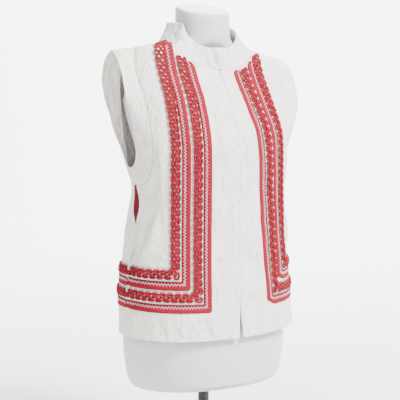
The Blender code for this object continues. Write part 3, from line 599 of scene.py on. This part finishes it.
def front_stations(strip, side):
    """Pairs of near and far places down a front, round the corner and along its hem."""
    height = STRIP_TOP
    span = None
    while span is None or (span[1] - span[0]) * BODY_RADIUS < NARROWEST:
        height -= FINE_STEP
        span = level_span(strip, side, height)
    high = hem_span(strip, side * FRONT_END[0])[1]
    stations = []
    while height > high + CORNER_ROOM:
        near, far = level_span(strip, side, height)
        stations.append(((side * near, height), (side * far, height)))
        height -= LEG_STEP
    near, far = level_span(strip, side, high + CORNER_ROOM)
    far_low, far_height = hem_span(strip, side * (far + WELL_PAST_CORNER))
    near_height = hem_span(strip, side * (near + PAST_CORNER))[0]
    corner = (side * far, far_height)
    for step in range(CORNER_TURNS):
        slide = far_height + (near_height - far_height) * step / CORNER_TURNS
        stations.append(((side * near, slide), corner))
    for step in range(CORNER_TURNS):
        share = step / CORNER_TURNS
        stations.append(((side * (near + (far - near) * share),
                          near_height + (far_low - near_height) * share), corner))
    ends = seam_ends(strip, *[side * angle for angle in FRONT_END])
    start = side * (far + PAST_CORNER)
    for share in np.linspace(0.0, 1.0, FRONT_HEM_STATIONS):
        low_angle, high_angle = [start + (end - start) * share for end in ends]
        stations.append(hem_pair(strip, low_angle, high_angle))
    stations.append([(angle + side * SEAM_RUN, height) for angle, height in stations[-1]])
    return stations


def back_stations(strip):
    """Pairs of lower and upper places along the back's hem, from the left side seam round."""
    starts = seam_ends(strip, *BACK_START)
    ends = seam_ends(strip, *BACK_END)
    stations = []
    for share in np.linspace(0.0, 1.0, BACK_HEM_STATIONS):
        low_angle, high_angle = [a + (b - a) * share for a, b in zip(starts, ends)]
        stations.append(hem_pair(strip, low_angle, high_angle))
    stations.insert(0, [(angle - SEAM_RUN, height) for angle, height in stations[0]])
    stations.append([(angle + SEAM_RUN, height) for angle, height in stations[-1]])
    return stations


def even_out(rows):
    """Each row averaged with its neighbours, the ends kept."""
    mixed = rows.copy()
    mixed[1:-1] = (rows[:-2] + rows[1:-1] * 2.0 + rows[2:]) / 4.0
    return mixed


def strip_lines(node_name, side, cloth):
    """A strip's near edge, far edge and normals on the cloth, and the length along it."""
    strip = tree_of(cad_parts[node_name])
    stations = front_stations(strip, side) if side else back_stations(strip)
    near = []
    far = []
    normals = []
    for places in stations:
        met = [touch(cloth, *place) for place in places]
        if None in met:
            continue
        near.append(met[0][0])
        far.append(met[1][0])
        normals.append((met[0][1] + met[1][1]).normalized())
    lines = [np.array([list(row) for row in rows]) for rows in (near, far, normals)]
    lines = [even_out(rows) for rows in lines]
    for smoothing in range(NORMAL_ROUNDS):
        lines[2] = even_out(lines[2])
    middle = (lines[0] + lines[1]) / 2.0
    steps = np.linalg.norm(np.diff(middle, axis=0), axis=1)
    return lines + [np.concatenate([[0.0], np.cumsum(steps)])]


def lay(lines, length, across, height):
    """Points over a strip: how far along it, the share across it, and the height above."""
    near, far, normals, lengths = lines
    length = np.clip(length, 0.0, lengths[-1])
    picked = []
    for rows in (near, far, normals):
        picked.append(np.stack([np.interp(length, lengths, rows[:, axis]) for axis in range(3)], axis=1))
    low, high, normal = picked
    normal /= np.linalg.norm(normal, axis=1, keepdims=True)
    across = np.asarray(across)[:, None]
    arch = ARCH * 4.0 * across * (1.0 - across)
    points = low * (1.0 - across) + high * across + normal * (np.asarray(height)[:, None] + arch)
    return points, normal


def tube(points, normals, half_width, half_height, sides):
    """A closed tube along points, flattened towards the cloth: points, faces and their UVs."""
    tangent = np.gradient(points, axis=0)
    tangent /= np.linalg.norm(tangent, axis=1, keepdims=True)
    aside = np.cross(normals, tangent)
    aside /= np.linalg.norm(aside, axis=1, keepdims=True)
    upward = np.cross(tangent, aside)
    turns = np.linspace(0.0, 2.0 * math.pi, sides, endpoint=False)
    rings = (points[:, None] + aside[:, None] * np.cos(turns)[None, :, None] * half_width
             + upward[:, None] * np.sin(turns)[None, :, None] * half_height)
    along = np.concatenate([[0.0], np.cumsum(np.linalg.norm(np.diff(points, axis=0), axis=1))])
    around = 2.0 * math.pi * half_width / sides
    faces = []
    coordinates = []
    for ring in range(len(points) - 1):
        for corner in range(sides):
            other = (corner + 1) % sides
            faces.append((ring * sides + corner, ring * sides + other,
                          (ring + 1) * sides + other, (ring + 1) * sides + corner))
            coordinates.append(((along[ring], corner * around),
                                (along[ring], (corner + 1) * around),
                                (along[ring + 1], (corner + 1) * around),
                                (along[ring + 1], corner * around)))
    last = (len(points) - 1) * sides
    faces.append(tuple(range(sides))[::-1])
    faces.append(tuple(last + corner for corner in range(sides)))
    coordinates += [((0.0, 0.0),) * sides] * 2
    return rings.reshape(-1, 3), faces, coordinates


TRIM_SHADE_DEG = 50.0


def sewn_piece(name, parts, materials):
    """One object from parts, each with its points, faces, UVs and the number of its material."""
    points = np.concatenate([part[0] for part in parts])
    faces = []
    coordinates = []
    finishes = []
    start = 0
    for part_points, part_faces, part_coordinates, finish in parts:
        faces += [tuple(start + corner for corner in face) for face in part_faces]
        coordinates += part_coordinates
        finishes += [finish] * len(part_faces) if isinstance(finish, int) else finish
        start += len(part_points)
    mesh = bpy.data.meshes.new(name)
    mesh.from_pydata([tuple(point) for point in points], [], faces)
    flat = mesh.uv_layers.new(name="cloth")
    flat.data.foreach_set("uv", [number for face in coordinates for corner in face for number in corner])
    for material in materials:
        mesh.materials.append(material)
    mesh.polygons.foreach_set("material_index", finishes)
    piece = bpy.data.objects.new(name, mesh)
    bpy.context.scene.collection.objects.link(piece)
    bpy.ops.object.select_all(action="DESELECT")
    piece.select_set(True)
    bpy.context.view_layer.objects.active = piece
    bpy.ops.object.mode_set(mode="EDIT")
    bpy.ops.mesh.select_all(action="SELECT")
    bpy.ops.mesh.normals_make_consistent(inside=False)
    bpy.ops.object.mode_set(mode="OBJECT")
    bpy.ops.object.shade_smooth_by_angle(angle=math.radians(TRIM_SHADE_DEG))
    return piece


CORD_RED = "#960220"
CORD_RED_DARK = "#720116"
TWIST_MM = 21.33        # a slow change of bump and painted shade in the furrows, far coarser than a real twist of about 2.4 mm
CORD_CLOUD_MM = 11.11
CORD_HALF_WIDTH = 0.0021
CORD_HALF_HEIGHT = 0.0015
CORD_SIDES = 8
CORD_OVER = 0.0018
LOOP_PITCH = 0.01425
LOBE_REACH = 0.0071
LOOP_POINTS = 26
FAR_LOBE = 0.25         # the share of a loop at which it reaches the far edge
PICOT_ROSE = "#8A5A60"
PICOT_FUZZ_MM = 1.11
PICOT_ROOM = 0.0016
PICOT_REACH = 0.0042
PICOT_SPREAD = 0.0058
PICOT_HALF = 0.0005
PICOT_HEIGHT = 0.0010
PICOT_POINTS = 8
PICOT_SIDES = 4

cord_wool, shader = new_material("twisted_red_wool_cord")
flat = add_node(cord_wool, "ShaderNodeUVMap", {"uv_map": "cloth"}, {})
place = add_node(cord_wool, "ShaderNodeTexCoord", {}, {})
twist = add_node(cord_wool, "ShaderNodeTexWave",
                 {"bands_direction": "DIAGONAL", "Scale": DIAGONAL_BANDS / TWIST_MM, "Distortion": 0.8},
                 {"Vector": flat.outputs["UV"]})
shades = add_node(cord_wool, "ShaderNodeTexNoise",
                  {"Scale": 1000.0 / CORD_CLOUD_MM, "Detail": 3.0},
                  {"Vector": place.outputs["Object"]})
tint = add_node(cord_wool, "ShaderNodeMix",
                {"data_type": "RGBA", 6: linear(CORD_RED), 7: linear(CORD_RED_DARK)},
                {0: shades.outputs["Fac"]})
# The twist's furrows are darkened in the colour: painted shade in the grooves between the strands.
painted_furrow_shade = add_node(cord_wool, "ShaderNodeMix",
                  {"data_type": "RGBA", "blend_type": "MULTIPLY", 0: 0.25},
                  {6: tint.outputs[2], 7: twist.outputs["Color"]})
strands = add_node(cord_wool, "ShaderNodeBump", {"Strength": 0.7, "Distance": 0.0006},
                   {"Height": twist.outputs["Fac"]})
cord_wool.node_tree.links.new(painted_furrow_shade.outputs[2], shader.inputs["Base Color"])
cord_wool.node_tree.links.new(strands.outputs["Normal"], shader.inputs["Normal"])
shader.inputs["Roughness"].default_value = 0.8
shader.inputs["Specular IOR Level"].default_value = 0.25

picot_thread, shader = new_material("fine_faded_red_thread")
place = add_node(picot_thread, "ShaderNodeTexCoord", {}, {})
fuzz = add_node(picot_thread, "ShaderNodeTexNoise", {"Scale": 1000.0 / PICOT_FUZZ_MM},
                {"Vector": place.outputs["Object"]})
bump = add_node(picot_thread, "ShaderNodeBump", {"Strength": 0.4, "Distance": 0.0002},
                {"Height": fuzz.outputs["Fac"]})
picot_thread.node_tree.links.new(bump.outputs["Normal"], shader.inputs["Normal"])
shader.inputs["Base Color"].default_value = linear(PICOT_ROSE)
shader.inputs["Roughness"].default_value = 0.8

cloth_trees = {place: tree_of(panel) for place, panel in panels.items()}
SIDES = (("right", -1.0, "front_right"), ("left", 1.0, "front_left"), ("back", 0.0, "back"))
trims = {place: [] for place in panels}

for row in ("outer", "inner"):
    for side, sign, panel_name in SIDES:
        node_name = "loop_braid_" + row + "_" + side
        lines = strip_lines(node_name, sign, cloth_trees[panel_name])
        total = lines[3][-1]
        loops = max(round(total / LOOP_PITCH), 2)
        t = np.linspace(0.0, 2.0 * math.pi * loops, loops * LOOP_POINTS + 1)
        length = np.clip(total * t / t[-1] + LOBE_REACH * np.sin(2.0 * t),
                         CORD_HALF_WIDTH, total - CORD_HALF_WIDTH)
        widths = np.interp(length, lines[3], np.linalg.norm(lines[1] - lines[0], axis=1))
        across = 0.5 + (0.5 - CORD_HALF_WIDTH / widths) * np.sin(t)
        across *= 1.0 - PICOT_ROOM / widths
        height = CORD_HALF_HEIGHT + CORD_OVER * (0.5 + 0.5 * np.cos(t))
        points, normals = lay(lines, length, across, height)
        parts = [(*tube(points, normals, CORD_HALF_WIDTH, CORD_HALF_HEIGHT, CORD_SIDES), 0)]
        for loop in range(loops):
            centre = total * (loop + FAR_LOBE) / loops
            bow = np.linspace(0.0, math.pi, PICOT_POINTS)
            width = float(np.interp(centre, lines[3], np.linalg.norm(lines[1] - lines[0], axis=1)))
            length = centre + PICOT_SPREAD * np.cos(bow)
            if length.min() < 0.0 or length.max() > total:
                continue
            across = 1.0 + (PICOT_REACH * np.sin(bow) - 2.0 * PICOT_ROOM) / width
            points, normals = lay(lines, length, across, np.full(PICOT_POINTS, PICOT_HEIGHT))
            parts.append((*tube(points, normals, PICOT_HALF, PICOT_HALF, PICOT_SIDES), 1))
        cord = sewn_piece("looped_cord_" + row + "_" + side, parts, [cord_wool, picot_thread])
        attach(cord, "root")
        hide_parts(node_name)
        trims[panel_name].append(cord)


# The tapes: woven red wool tape sewn flat, smooth twill along the edge nearest the opening and
# the hem, then a white zigzag thread on a red ground, and a fine dark red cord at the far edge.
# Both nested rows are alike and turn a mitred corner.

TAPE_RED = "#8C0220"
TAPE_RED_DARK = "#7A021A"
TAPE_EDGE_RED = "#78061C"
TAPE_EDGE_DARK = "#5C0412"
ZIGZAG_WHITE = "#F6E6E8"
ZIGZAG_SHADE = "#E9CDD2"
TWILL_MM = 13.33            # far coarser than a real twill's lines of about 1.5 mm
EDGE_TURN_MM = 17.59        # and than the turns of a fine cord, of about 2.8 mm
ZIGZAG_TURN_MM = 5.655
WOOL_CLOUD_MM = 14.29
TAPE_STEP = 0.0026
TAPE_WIDTH = 0.0165
TAPE_PROFILE = [
    # across in mm, height in mm
    (0.00, 0.10),
    (0.05, 1.10),
    (0.70, 1.60),
    (7.20, 1.60),
    (7.90, 1.20),
    (8.20, 0.80),
    (13.30, 0.80),
    (13.60, 1.00),
    (13.90, 1.70),
    (14.60, 2.20),
    (15.50, 2.20),
    (16.20, 1.60),
    (16.50, 0.80),
    (16.45, 0.10),
]
EDGE_CORD_FROM_MM = 13.4
ZIGZAG_NEAR = 8.4 / 16.5    # as shares of the tape's width
ZIGZAG_FAR = 13.2 / 16.5
ZIGZAG_PERIOD = 0.0062
ZIGZAG_END_GAP = 0.002
ZIGZAG_HEIGHT = 0.00100
ZIGZAG_HALF_WIDTH = 0.00042
ZIGZAG_HALF_HEIGHT = 0.00040
ZIGZAG_SIDES = 5


def woollen(name, colour, dark_colour, direction, spacing_mm):
    """Dyed wool with lines across it, such as a twill's ribs or a cord's turns."""
    bands = DIAGONAL_BANDS if direction == "DIAGONAL" else STRAIGHT_BANDS
    wool, shader = new_material(name)
    flat = add_node(wool, "ShaderNodeUVMap", {"uv_map": "cloth"}, {})
    place = add_node(wool, "ShaderNodeTexCoord", {}, {})
    ribs = add_node(wool, "ShaderNodeTexWave",
                    {"bands_direction": direction, "Scale": bands / spacing_mm, "Distortion": 0.7},
                    {"Vector": flat.outputs["UV"]})
    shades = add_node(wool, "ShaderNodeTexNoise",
                      {"Scale": 1000.0 / WOOL_CLOUD_MM, "Detail": 4.0},
                      {"Vector": place.outputs["Object"]})
    tint = add_node(wool, "ShaderNodeMix",
                    {"data_type": "RGBA", 6: linear(colour), 7: linear(dark_colour)},
                    {0: shades.outputs["Fac"]})
    bump = add_node(wool, "ShaderNodeBump", {"Strength": 0.6, "Distance": 0.0003},
                    {"Height": ribs.outputs["Fac"]})
    wool.node_tree.links.new(tint.outputs[2], shader.inputs["Base Color"])
    wool.node_tree.links.new(bump.outputs["Normal"], shader.inputs["Normal"])
    shader.inputs["Roughness"].default_value = 0.82
    shader.inputs["Specular IOR Level"].default_value = 0.25
    return wool


tape_wool = woollen("red_wool_twill_tape", TAPE_RED, TAPE_RED_DARK, "DIAGONAL", TWILL_MM)
edge_wool = woollen("dark_red_wool_cord", TAPE_EDGE_RED, TAPE_EDGE_DARK, "Y", EDGE_TURN_MM)
zigzag_thread = woollen("white_cotton_thread", ZIGZAG_WHITE, ZIGZAG_SHADE, "X", ZIGZAG_TURN_MM)

for row in ("outer", "inner"):
    for side, sign, panel_name in SIDES:
        node_name = "tape_" + row + "_" + side
        lines = strip_lines(node_name, sign, cloth_trees[panel_name])
        total = lines[3][-1]
        stations = np.linspace(0.0, total, int(total / TAPE_STEP) + 1)
        columns = []
        for offset, rise in TAPE_PROFILE:
            share = np.full(len(stations), offset / 1000.0 / TAPE_WIDTH)
            columns.append(lay(lines, stations, share, np.full(len(stations), rise / 1000.0))[0])
        grid = np.stack(columns, axis=1)
        sides = len(TAPE_PROFILE)
        faces = []
        coordinates = []
        finishes = []
        for ring in range(len(stations) - 1):
            for corner in range(sides):
                other = (corner + 1) % sides
                faces.append((ring * sides + corner, ring * sides + other,
                              (ring + 1) * sides + other, (ring + 1) * sides + corner))
                start = TAPE_PROFILE[corner][0] / 1000.0
                end = TAPE_PROFILE[other][0] / 1000.0
                coordinates.append(((start, stations[ring]), (end, stations[ring]),
                                    (end, stations[ring + 1]), (start, stations[ring + 1])))
                on_cord = start * 1000.0 >= EDGE_CORD_FROM_MM and corner < sides - 1
                finishes.append(1 if on_cord else 0)
        last = (len(stations) - 1) * sides
        faces.append(tuple(range(sides))[::-1])
        faces.append(tuple(last + corner for corner in range(sides)))
        coordinates += [((0.0, 0.0),) * sides] * 2
        finishes += [0, 0]
        turns = int(total / ZIGZAG_PERIOD * 2.0)
        zigzag = np.linspace(ZIGZAG_END_GAP, total - ZIGZAG_END_GAP, turns * 2 + 1)
        swing = np.array([0.0, 0.5, 1.0, 0.5])[np.arange(len(zigzag)) % 4]
        across = ZIGZAG_NEAR + (ZIGZAG_FAR - ZIGZAG_NEAR) * swing
        points, normals = lay(lines, zigzag, across, np.full(len(zigzag), ZIGZAG_HEIGHT))
        parts = [(grid.reshape(-1, 3), faces, coordinates, finishes),
                 (*tube(points, normals, ZIGZAG_HALF_WIDTH, ZIGZAG_HALF_HEIGHT, ZIGZAG_SIDES), 2)]
        tape = sewn_piece("sewn_" + node_name, parts, [tape_wool, edge_wool, zigzag_thread])
        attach(tape, "root")
        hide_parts(node_name)
        trims[panel_name].append(tape)


# The visible stitches: cream cotton thread in short even dashes, down beside the right front's
# edge, along the armhole bands and round the collar's upper edge. Each dash lies on the cloth.

THREAD_CREAM = "#E4DED2"
THREAD_FUZZ_MM = 0.833
STITCH_START = 0.001
STITCH_LENGTH = 0.0024
STITCH_GAP = 0.0010
STITCH_HALF = 0.00024
STITCH_SIDES = 5
STITCH_RISES = np.array([-0.0001, 0.00012, 0.00012, -0.0001])   # its ends dip into the cloth

stitch_thread, shader = new_material("cream_cotton_thread")
place = add_node(stitch_thread, "ShaderNodeTexCoord", {}, {})
fuzz = add_node(stitch_thread, "ShaderNodeTexNoise", {"Scale": 1000.0 / THREAD_FUZZ_MM},
                {"Vector": place.outputs["Object"]})
bump = add_node(stitch_thread, "ShaderNodeBump", {"Strength": 0.3, "Distance": 0.0001},
                {"Height": fuzz.outputs["Fac"]})
stitch_thread.node_tree.links.new(bump.outputs["Normal"], shader.inputs["Normal"])
shader.inputs["Base Color"].default_value = linear(THREAD_CREAM)
shader.inputs["Roughness"].default_value = 0.85


def stitch_line(name, met):
    """A row of dashes along places that lie on a cloth, each place with its normal there."""
    places = np.array([list(place) for place, normal in met])
    normals = np.array([list(normal) for place, normal in met])
    lengths = np.concatenate([[0.0], np.cumsum(np.linalg.norm(np.diff(places, axis=0), axis=1))])
    parts = []
    for start in np.arange(STITCH_START, lengths[-1] - STITCH_LENGTH, STITCH_LENGTH + STITCH_GAP):
        along = np.linspace(start, start + STITCH_LENGTH, len(STITCH_RISES))
        points = np.stack([np.interp(along, lengths, places[:, axis]) for axis in range(3)], axis=1)
        above = np.stack([np.interp(along, lengths, normals[:, axis]) for axis in range(3)], axis=1)
        above /= np.linalg.norm(above, axis=1, keepdims=True)
        points = points + above * STITCH_RISES[:, None]
        parts.append((*tube(points, above, STITCH_HALF, STITCH_HALF, STITCH_SIDES), 0))
    stitches = sewn_piece(name, parts, [stitch_thread])
    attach(stitches, "root")


FRONT_STITCH_INSIDE = 0.007
FRONT_STITCH_TOP = 0.730
FRONT_STITCH_LOW = 0.300
FRONT_STITCH_STEP = 0.003
EDGE_WITHIN = 0.10      # the front's edge lies between this angle on either side
EDGE_STEP = 0.002

tree = cloth_trees["front_right"]
edge_met = []
for height in np.arange(FRONT_STITCH_TOP, FRONT_STITCH_LOW, -FRONT_STITCH_STEP):
    angle = EDGE_WITHIN
    while touch(tree, -angle, height) and angle > -EDGE_WITHIN:
        angle -= EDGE_STEP
    edge = last_met(lambda a: touch(tree, -a, height), angle + EDGE_STEP, angle)
    met = touch(tree, -(edge + FRONT_STITCH_INSIDE / BODY_RADIUS), height)
    if met:
        edge_met.append(met)
stitch_line("front_edge_stitching", edge_met)

BAND_STITCH_INSIDE = 0.0075
BAND_ASIDE = 0.30       # lines towards a band start this far aside, round the armhole's middle
ARMHOLE_Y = 0.008
ARMHOLE_Z = 0.655
BAND_RAY = 0.20
BAND_TURNS = np.radians(np.arange(-205.0, 25.0, 1.5))
BAND_RADII = np.arange(0.020, 0.130, 0.001)
BAND_FACING = 0.25      # the least that the cloth has to face outwards for a stitch to show

for side, sign in (("right", -1.0), ("left", 1.0)):
    tree = tree_of(bpy.data.objects["cloth_armhole_band_" + side])
    inward = Vector((-sign, 0.0, 0.0))
    band_met = []
    for turn in BAND_TURNS:
        reach = Vector((0.0, math.cos(turn), math.sin(turn)))
        for radius in BAND_RADII:
            start = Vector((sign * BAND_ASIDE, ARMHOLE_Y, ARMHOLE_Z)) + reach * radius
            if tree.ray_cast(start, inward, BAND_RAY)[0]:
                break
        start += reach * BAND_STITCH_INSIDE
        place, normal = tree.ray_cast(start, inward, BAND_RAY)[:2]
        if place and sign * normal.x > BAND_FACING:
            band_met.append((place, normal))
    stitch_line("armhole_stitching_" + side, band_met)

COLLAR_STITCH_BELOW = 0.0045
COLLAR_TURNS = np.radians(np.arange(8.0, 352.0, 2.0))
COLLAR_ABOVE = 0.870
COLLAR_LOWEST = 0.740
COLLAR_STEP = 0.0015

tree = tree_of(bpy.data.objects["cloth_stand_collar"])
collar_met = []
for angle in COLLAR_TURNS:
    height = COLLAR_ABOVE
    while height > COLLAR_LOWEST and not touch(tree, angle, height):
        height -= COLLAR_STEP
    met = touch(tree, angle, height - COLLAR_STITCH_BELOW)
    if met:
        collar_met.append(met)
stitch_line("collar_stitching", collar_met)


# The side seams: below each gusset the front and the back are felled together, so a narrow
# ridge of the cotton closes the gap between their edges.

SEAM_LOW = 0.262
SEAM_HIGH = 0.452
SEAM_HALF_WIDTH = 0.0017
SEAM_HALF_HEIGHT = 0.0008
SEAM_SUNK = 0.0007
SEAM_STEP = 0.005
SEAM_SIDES = 10
FRONT_EDGE = (math.radians(80.0), math.radians(98.0))   # an angle on the cloth, and one past it
BACK_EDGE = (math.radians(104.0), math.radians(82.0))

for side, sign in (("right", -1.0), ("left", 1.0)):
    places = []
    normals = []
    for height in np.arange(SEAM_LOW, SEAM_HIGH, SEAM_STEP):
        met = []
        for tree, (inside, outside) in ((cloth_trees["front_" + side], FRONT_EDGE),
                                        (cloth_trees["back"], BACK_EDGE)):
            edge = last_met(lambda a: touch(tree, sign * a, height), inside, outside)
            met.append(touch(tree, sign * edge, height))
        if None in met:
            continue
        normal = (met[0][1] + met[1][1]).normalized()
        places.append(list((met[0][0] + met[1][0]) / 2.0 - normal * SEAM_SUNK))
        normals.append(list(normal))
    points = even_out(even_out(np.array(places)))
    ridge = tube(points, even_out(np.array(normals)), SEAM_HALF_WIDTH, SEAM_HALF_HEIGHT, SEAM_SIDES)
    seam = sewn_piece("side_seam_" + side, [(*ridge, 0)], [cotton])
    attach(seam, "root")


# The neck hook: a small bent wire hook in black japanned brass, sewn under the collar's end.
# Its solid is true, so it only gets its finish.

JAPAN_BLACK = "#1A1817"
WEAR_MM = 0.714

black_japan, shader = new_material("black_japanned_brass")
place = add_node(black_japan, "ShaderNodeTexCoord", {}, {})
wear = add_node(black_japan, "ShaderNodeTexNoise",
                {"Scale": 1000.0 / WEAR_MM, "Detail": 2.0}, {"Vector": place.outputs["Object"]})
gloss = add_node(black_japan, "ShaderNodeMapRange", {"To Min": 0.28, "To Max": 0.45},
                 {"Value": wear.outputs["Fac"]})
black_japan.node_tree.links.new(gloss.outputs["Result"], shader.inputs["Roughness"])
shader.inputs["Base Color"].default_value = linear(JAPAN_BLACK)
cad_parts["neck_hook"].data.materials.clear()
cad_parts["neck_hook"].data.materials.append(black_japan)


# The floor: a white studio sweep that curves up behind the stand, with no edge in view.

SWEEP_WHITE = "#E6E6E6"
SWEEP_WIDTH = 12.0
SWEEP_DEPTH = 9.0
SWEEP_TURN = math.radians(-35.0)
SWEEP_BACK = 4.0        # only the sweep's far edge lies beyond this
SWEEP_RISE = 6.0
SWEEP_BEND = 1.8
SWEEP_SEGMENTS = 16

backdrop_paper, shader = new_material("white_backdrop_paper")
shader.inputs["Base Color"].default_value = linear(SWEEP_WHITE)
shader.inputs["Roughness"].default_value = 0.9

bpy.ops.object.select_all(action="DESELECT")
bpy.ops.mesh.primitive_plane_add(size=1.0, location=(0.0, 0.0, 0.0))
backdrop = bpy.context.object
backdrop.name = "studio_sweep"
backdrop.scale = (SWEEP_WIDTH, SWEEP_DEPTH, 1.0)
backdrop.rotation_euler = (0.0, 0.0, SWEEP_TURN)
bpy.ops.object.transform_apply(location=False, rotation=True, scale=True)
bpy.ops.object.mode_set(mode="EDIT")
bpy.ops.mesh.select_all(action="DESELECT")
bpy.ops.object.mode_set(mode="OBJECT")
far_side = Vector((math.sin(-SWEEP_TURN), math.cos(SWEEP_TURN), 0.0))
for vertex in backdrop.data.vertices:
    vertex.select = vertex.co.dot(far_side) > SWEEP_BACK
for edge in backdrop.data.edges:
    edge.select = all(backdrop.data.vertices[end].select for end in edge.vertices)
bpy.ops.object.mode_set(mode="EDIT")
bpy.ops.mesh.extrude_region_move(TRANSFORM_OT_translate={"value": (0.0, 0.0, SWEEP_RISE)})
bpy.ops.object.mode_set(mode="OBJECT")
bend = backdrop.modifiers.new("bend", "BEVEL")
bend.width = SWEEP_BEND
bend.segments = SWEEP_SEGMENTS
bpy.ops.object.modifier_apply(modifier="bend")
bpy.ops.object.shade_smooth()
backdrop.data.materials.append(backdrop_paper)


# The light: a near white room with a broad soft lamp high on the camera's right, a weaker one
# on its left, a faint one behind and one on the sweep, so the folds shade softly.

WORLD_STRENGTH = 0.62

world = bpy.data.worlds.new("white_room")
bpy.context.scene.world = world
world.use_nodes = True
world.node_tree.nodes["Background"].inputs["Color"].default_value = (1.0, 1.0, 1.0, 1.0)
world.node_tree.nodes["Background"].inputs["Strength"].default_value = WORLD_STRENGTH

LAMPS = [
    # name, place, aimed at, width, height, watts
    ("key_softbox", (1.0, -2.3, 3.3), (0.0, 0.0, 0.66), 0.9, 0.9, 520.0),
    ("fill_softbox", (-2.7, -2.0, 2.4), (0.0, 0.0, 0.60), 1.4, 1.4, 90.0),
    ("back_softbox", (1.8, 1.8, 2.4), (0.0, 0.0, 0.60), 1.4, 1.4, 30.0),
    ("sweep_softbox", (1.3, 1.8, 3.4), (2.4, 3.4, 1.2), 3.0, 1.6, 800.0),
]
for name, spot, target, width, height, watts in LAMPS:
    bpy.ops.object.light_add(type="AREA", location=spot)
    lamp = bpy.context.object
    lamp.name = name
    lamp.data.shape = "RECTANGLE"
    lamp.data.size = width
    lamp.data.size_y = height
    lamp.data.energy = watts
    lamp.rotation_euler = (Vector(target) - Vector(spot)).to_track_quat("-Z", "Y").to_euler()


# The camera: level with the collar, 35 degrees round to the wearer's right, looking down a
# little. A point of the photo's 400 is 1.95 mm at the form's middle.

POINT_SIZE = 0.00195
PHOTO_POINTS = 400.0
SENSOR_WIDTH = 36.0
CAMERA_DISTANCE = 3.0
EYE_HEIGHT = 0.841
VIEW_TURN = math.radians(-35.0)
POINTS_ASIDE = 3.5
POINTS_DOWN = 180.0

away = Vector((math.sin(VIEW_TURN), -math.cos(VIEW_TURN), 0.0))
aside = Vector((math.cos(VIEW_TURN), math.sin(VIEW_TURN), 0.0))
bpy.ops.object.camera_add(location=away * CAMERA_DISTANCE + Vector((0.0, 0.0, EYE_HEIGHT)))
camera = bpy.context.object
aim = -away
aim -= aside * (POINTS_ASIDE * POINT_SIZE / CAMERA_DISTANCE)
aim -= Vector((0.0, 0.0, POINTS_DOWN * POINT_SIZE / CAMERA_DISTANCE))
camera.rotation_euler = aim.to_track_quat("-Z", "Y").to_euler()
camera.data.sensor_width = SENSOR_WIDTH
camera.data.lens = SENSOR_WIDTH / 2.0 / (PHOTO_POINTS / 2.0 * POINT_SIZE / CAMERA_DISTANCE)
bpy.context.scene.camera = camera
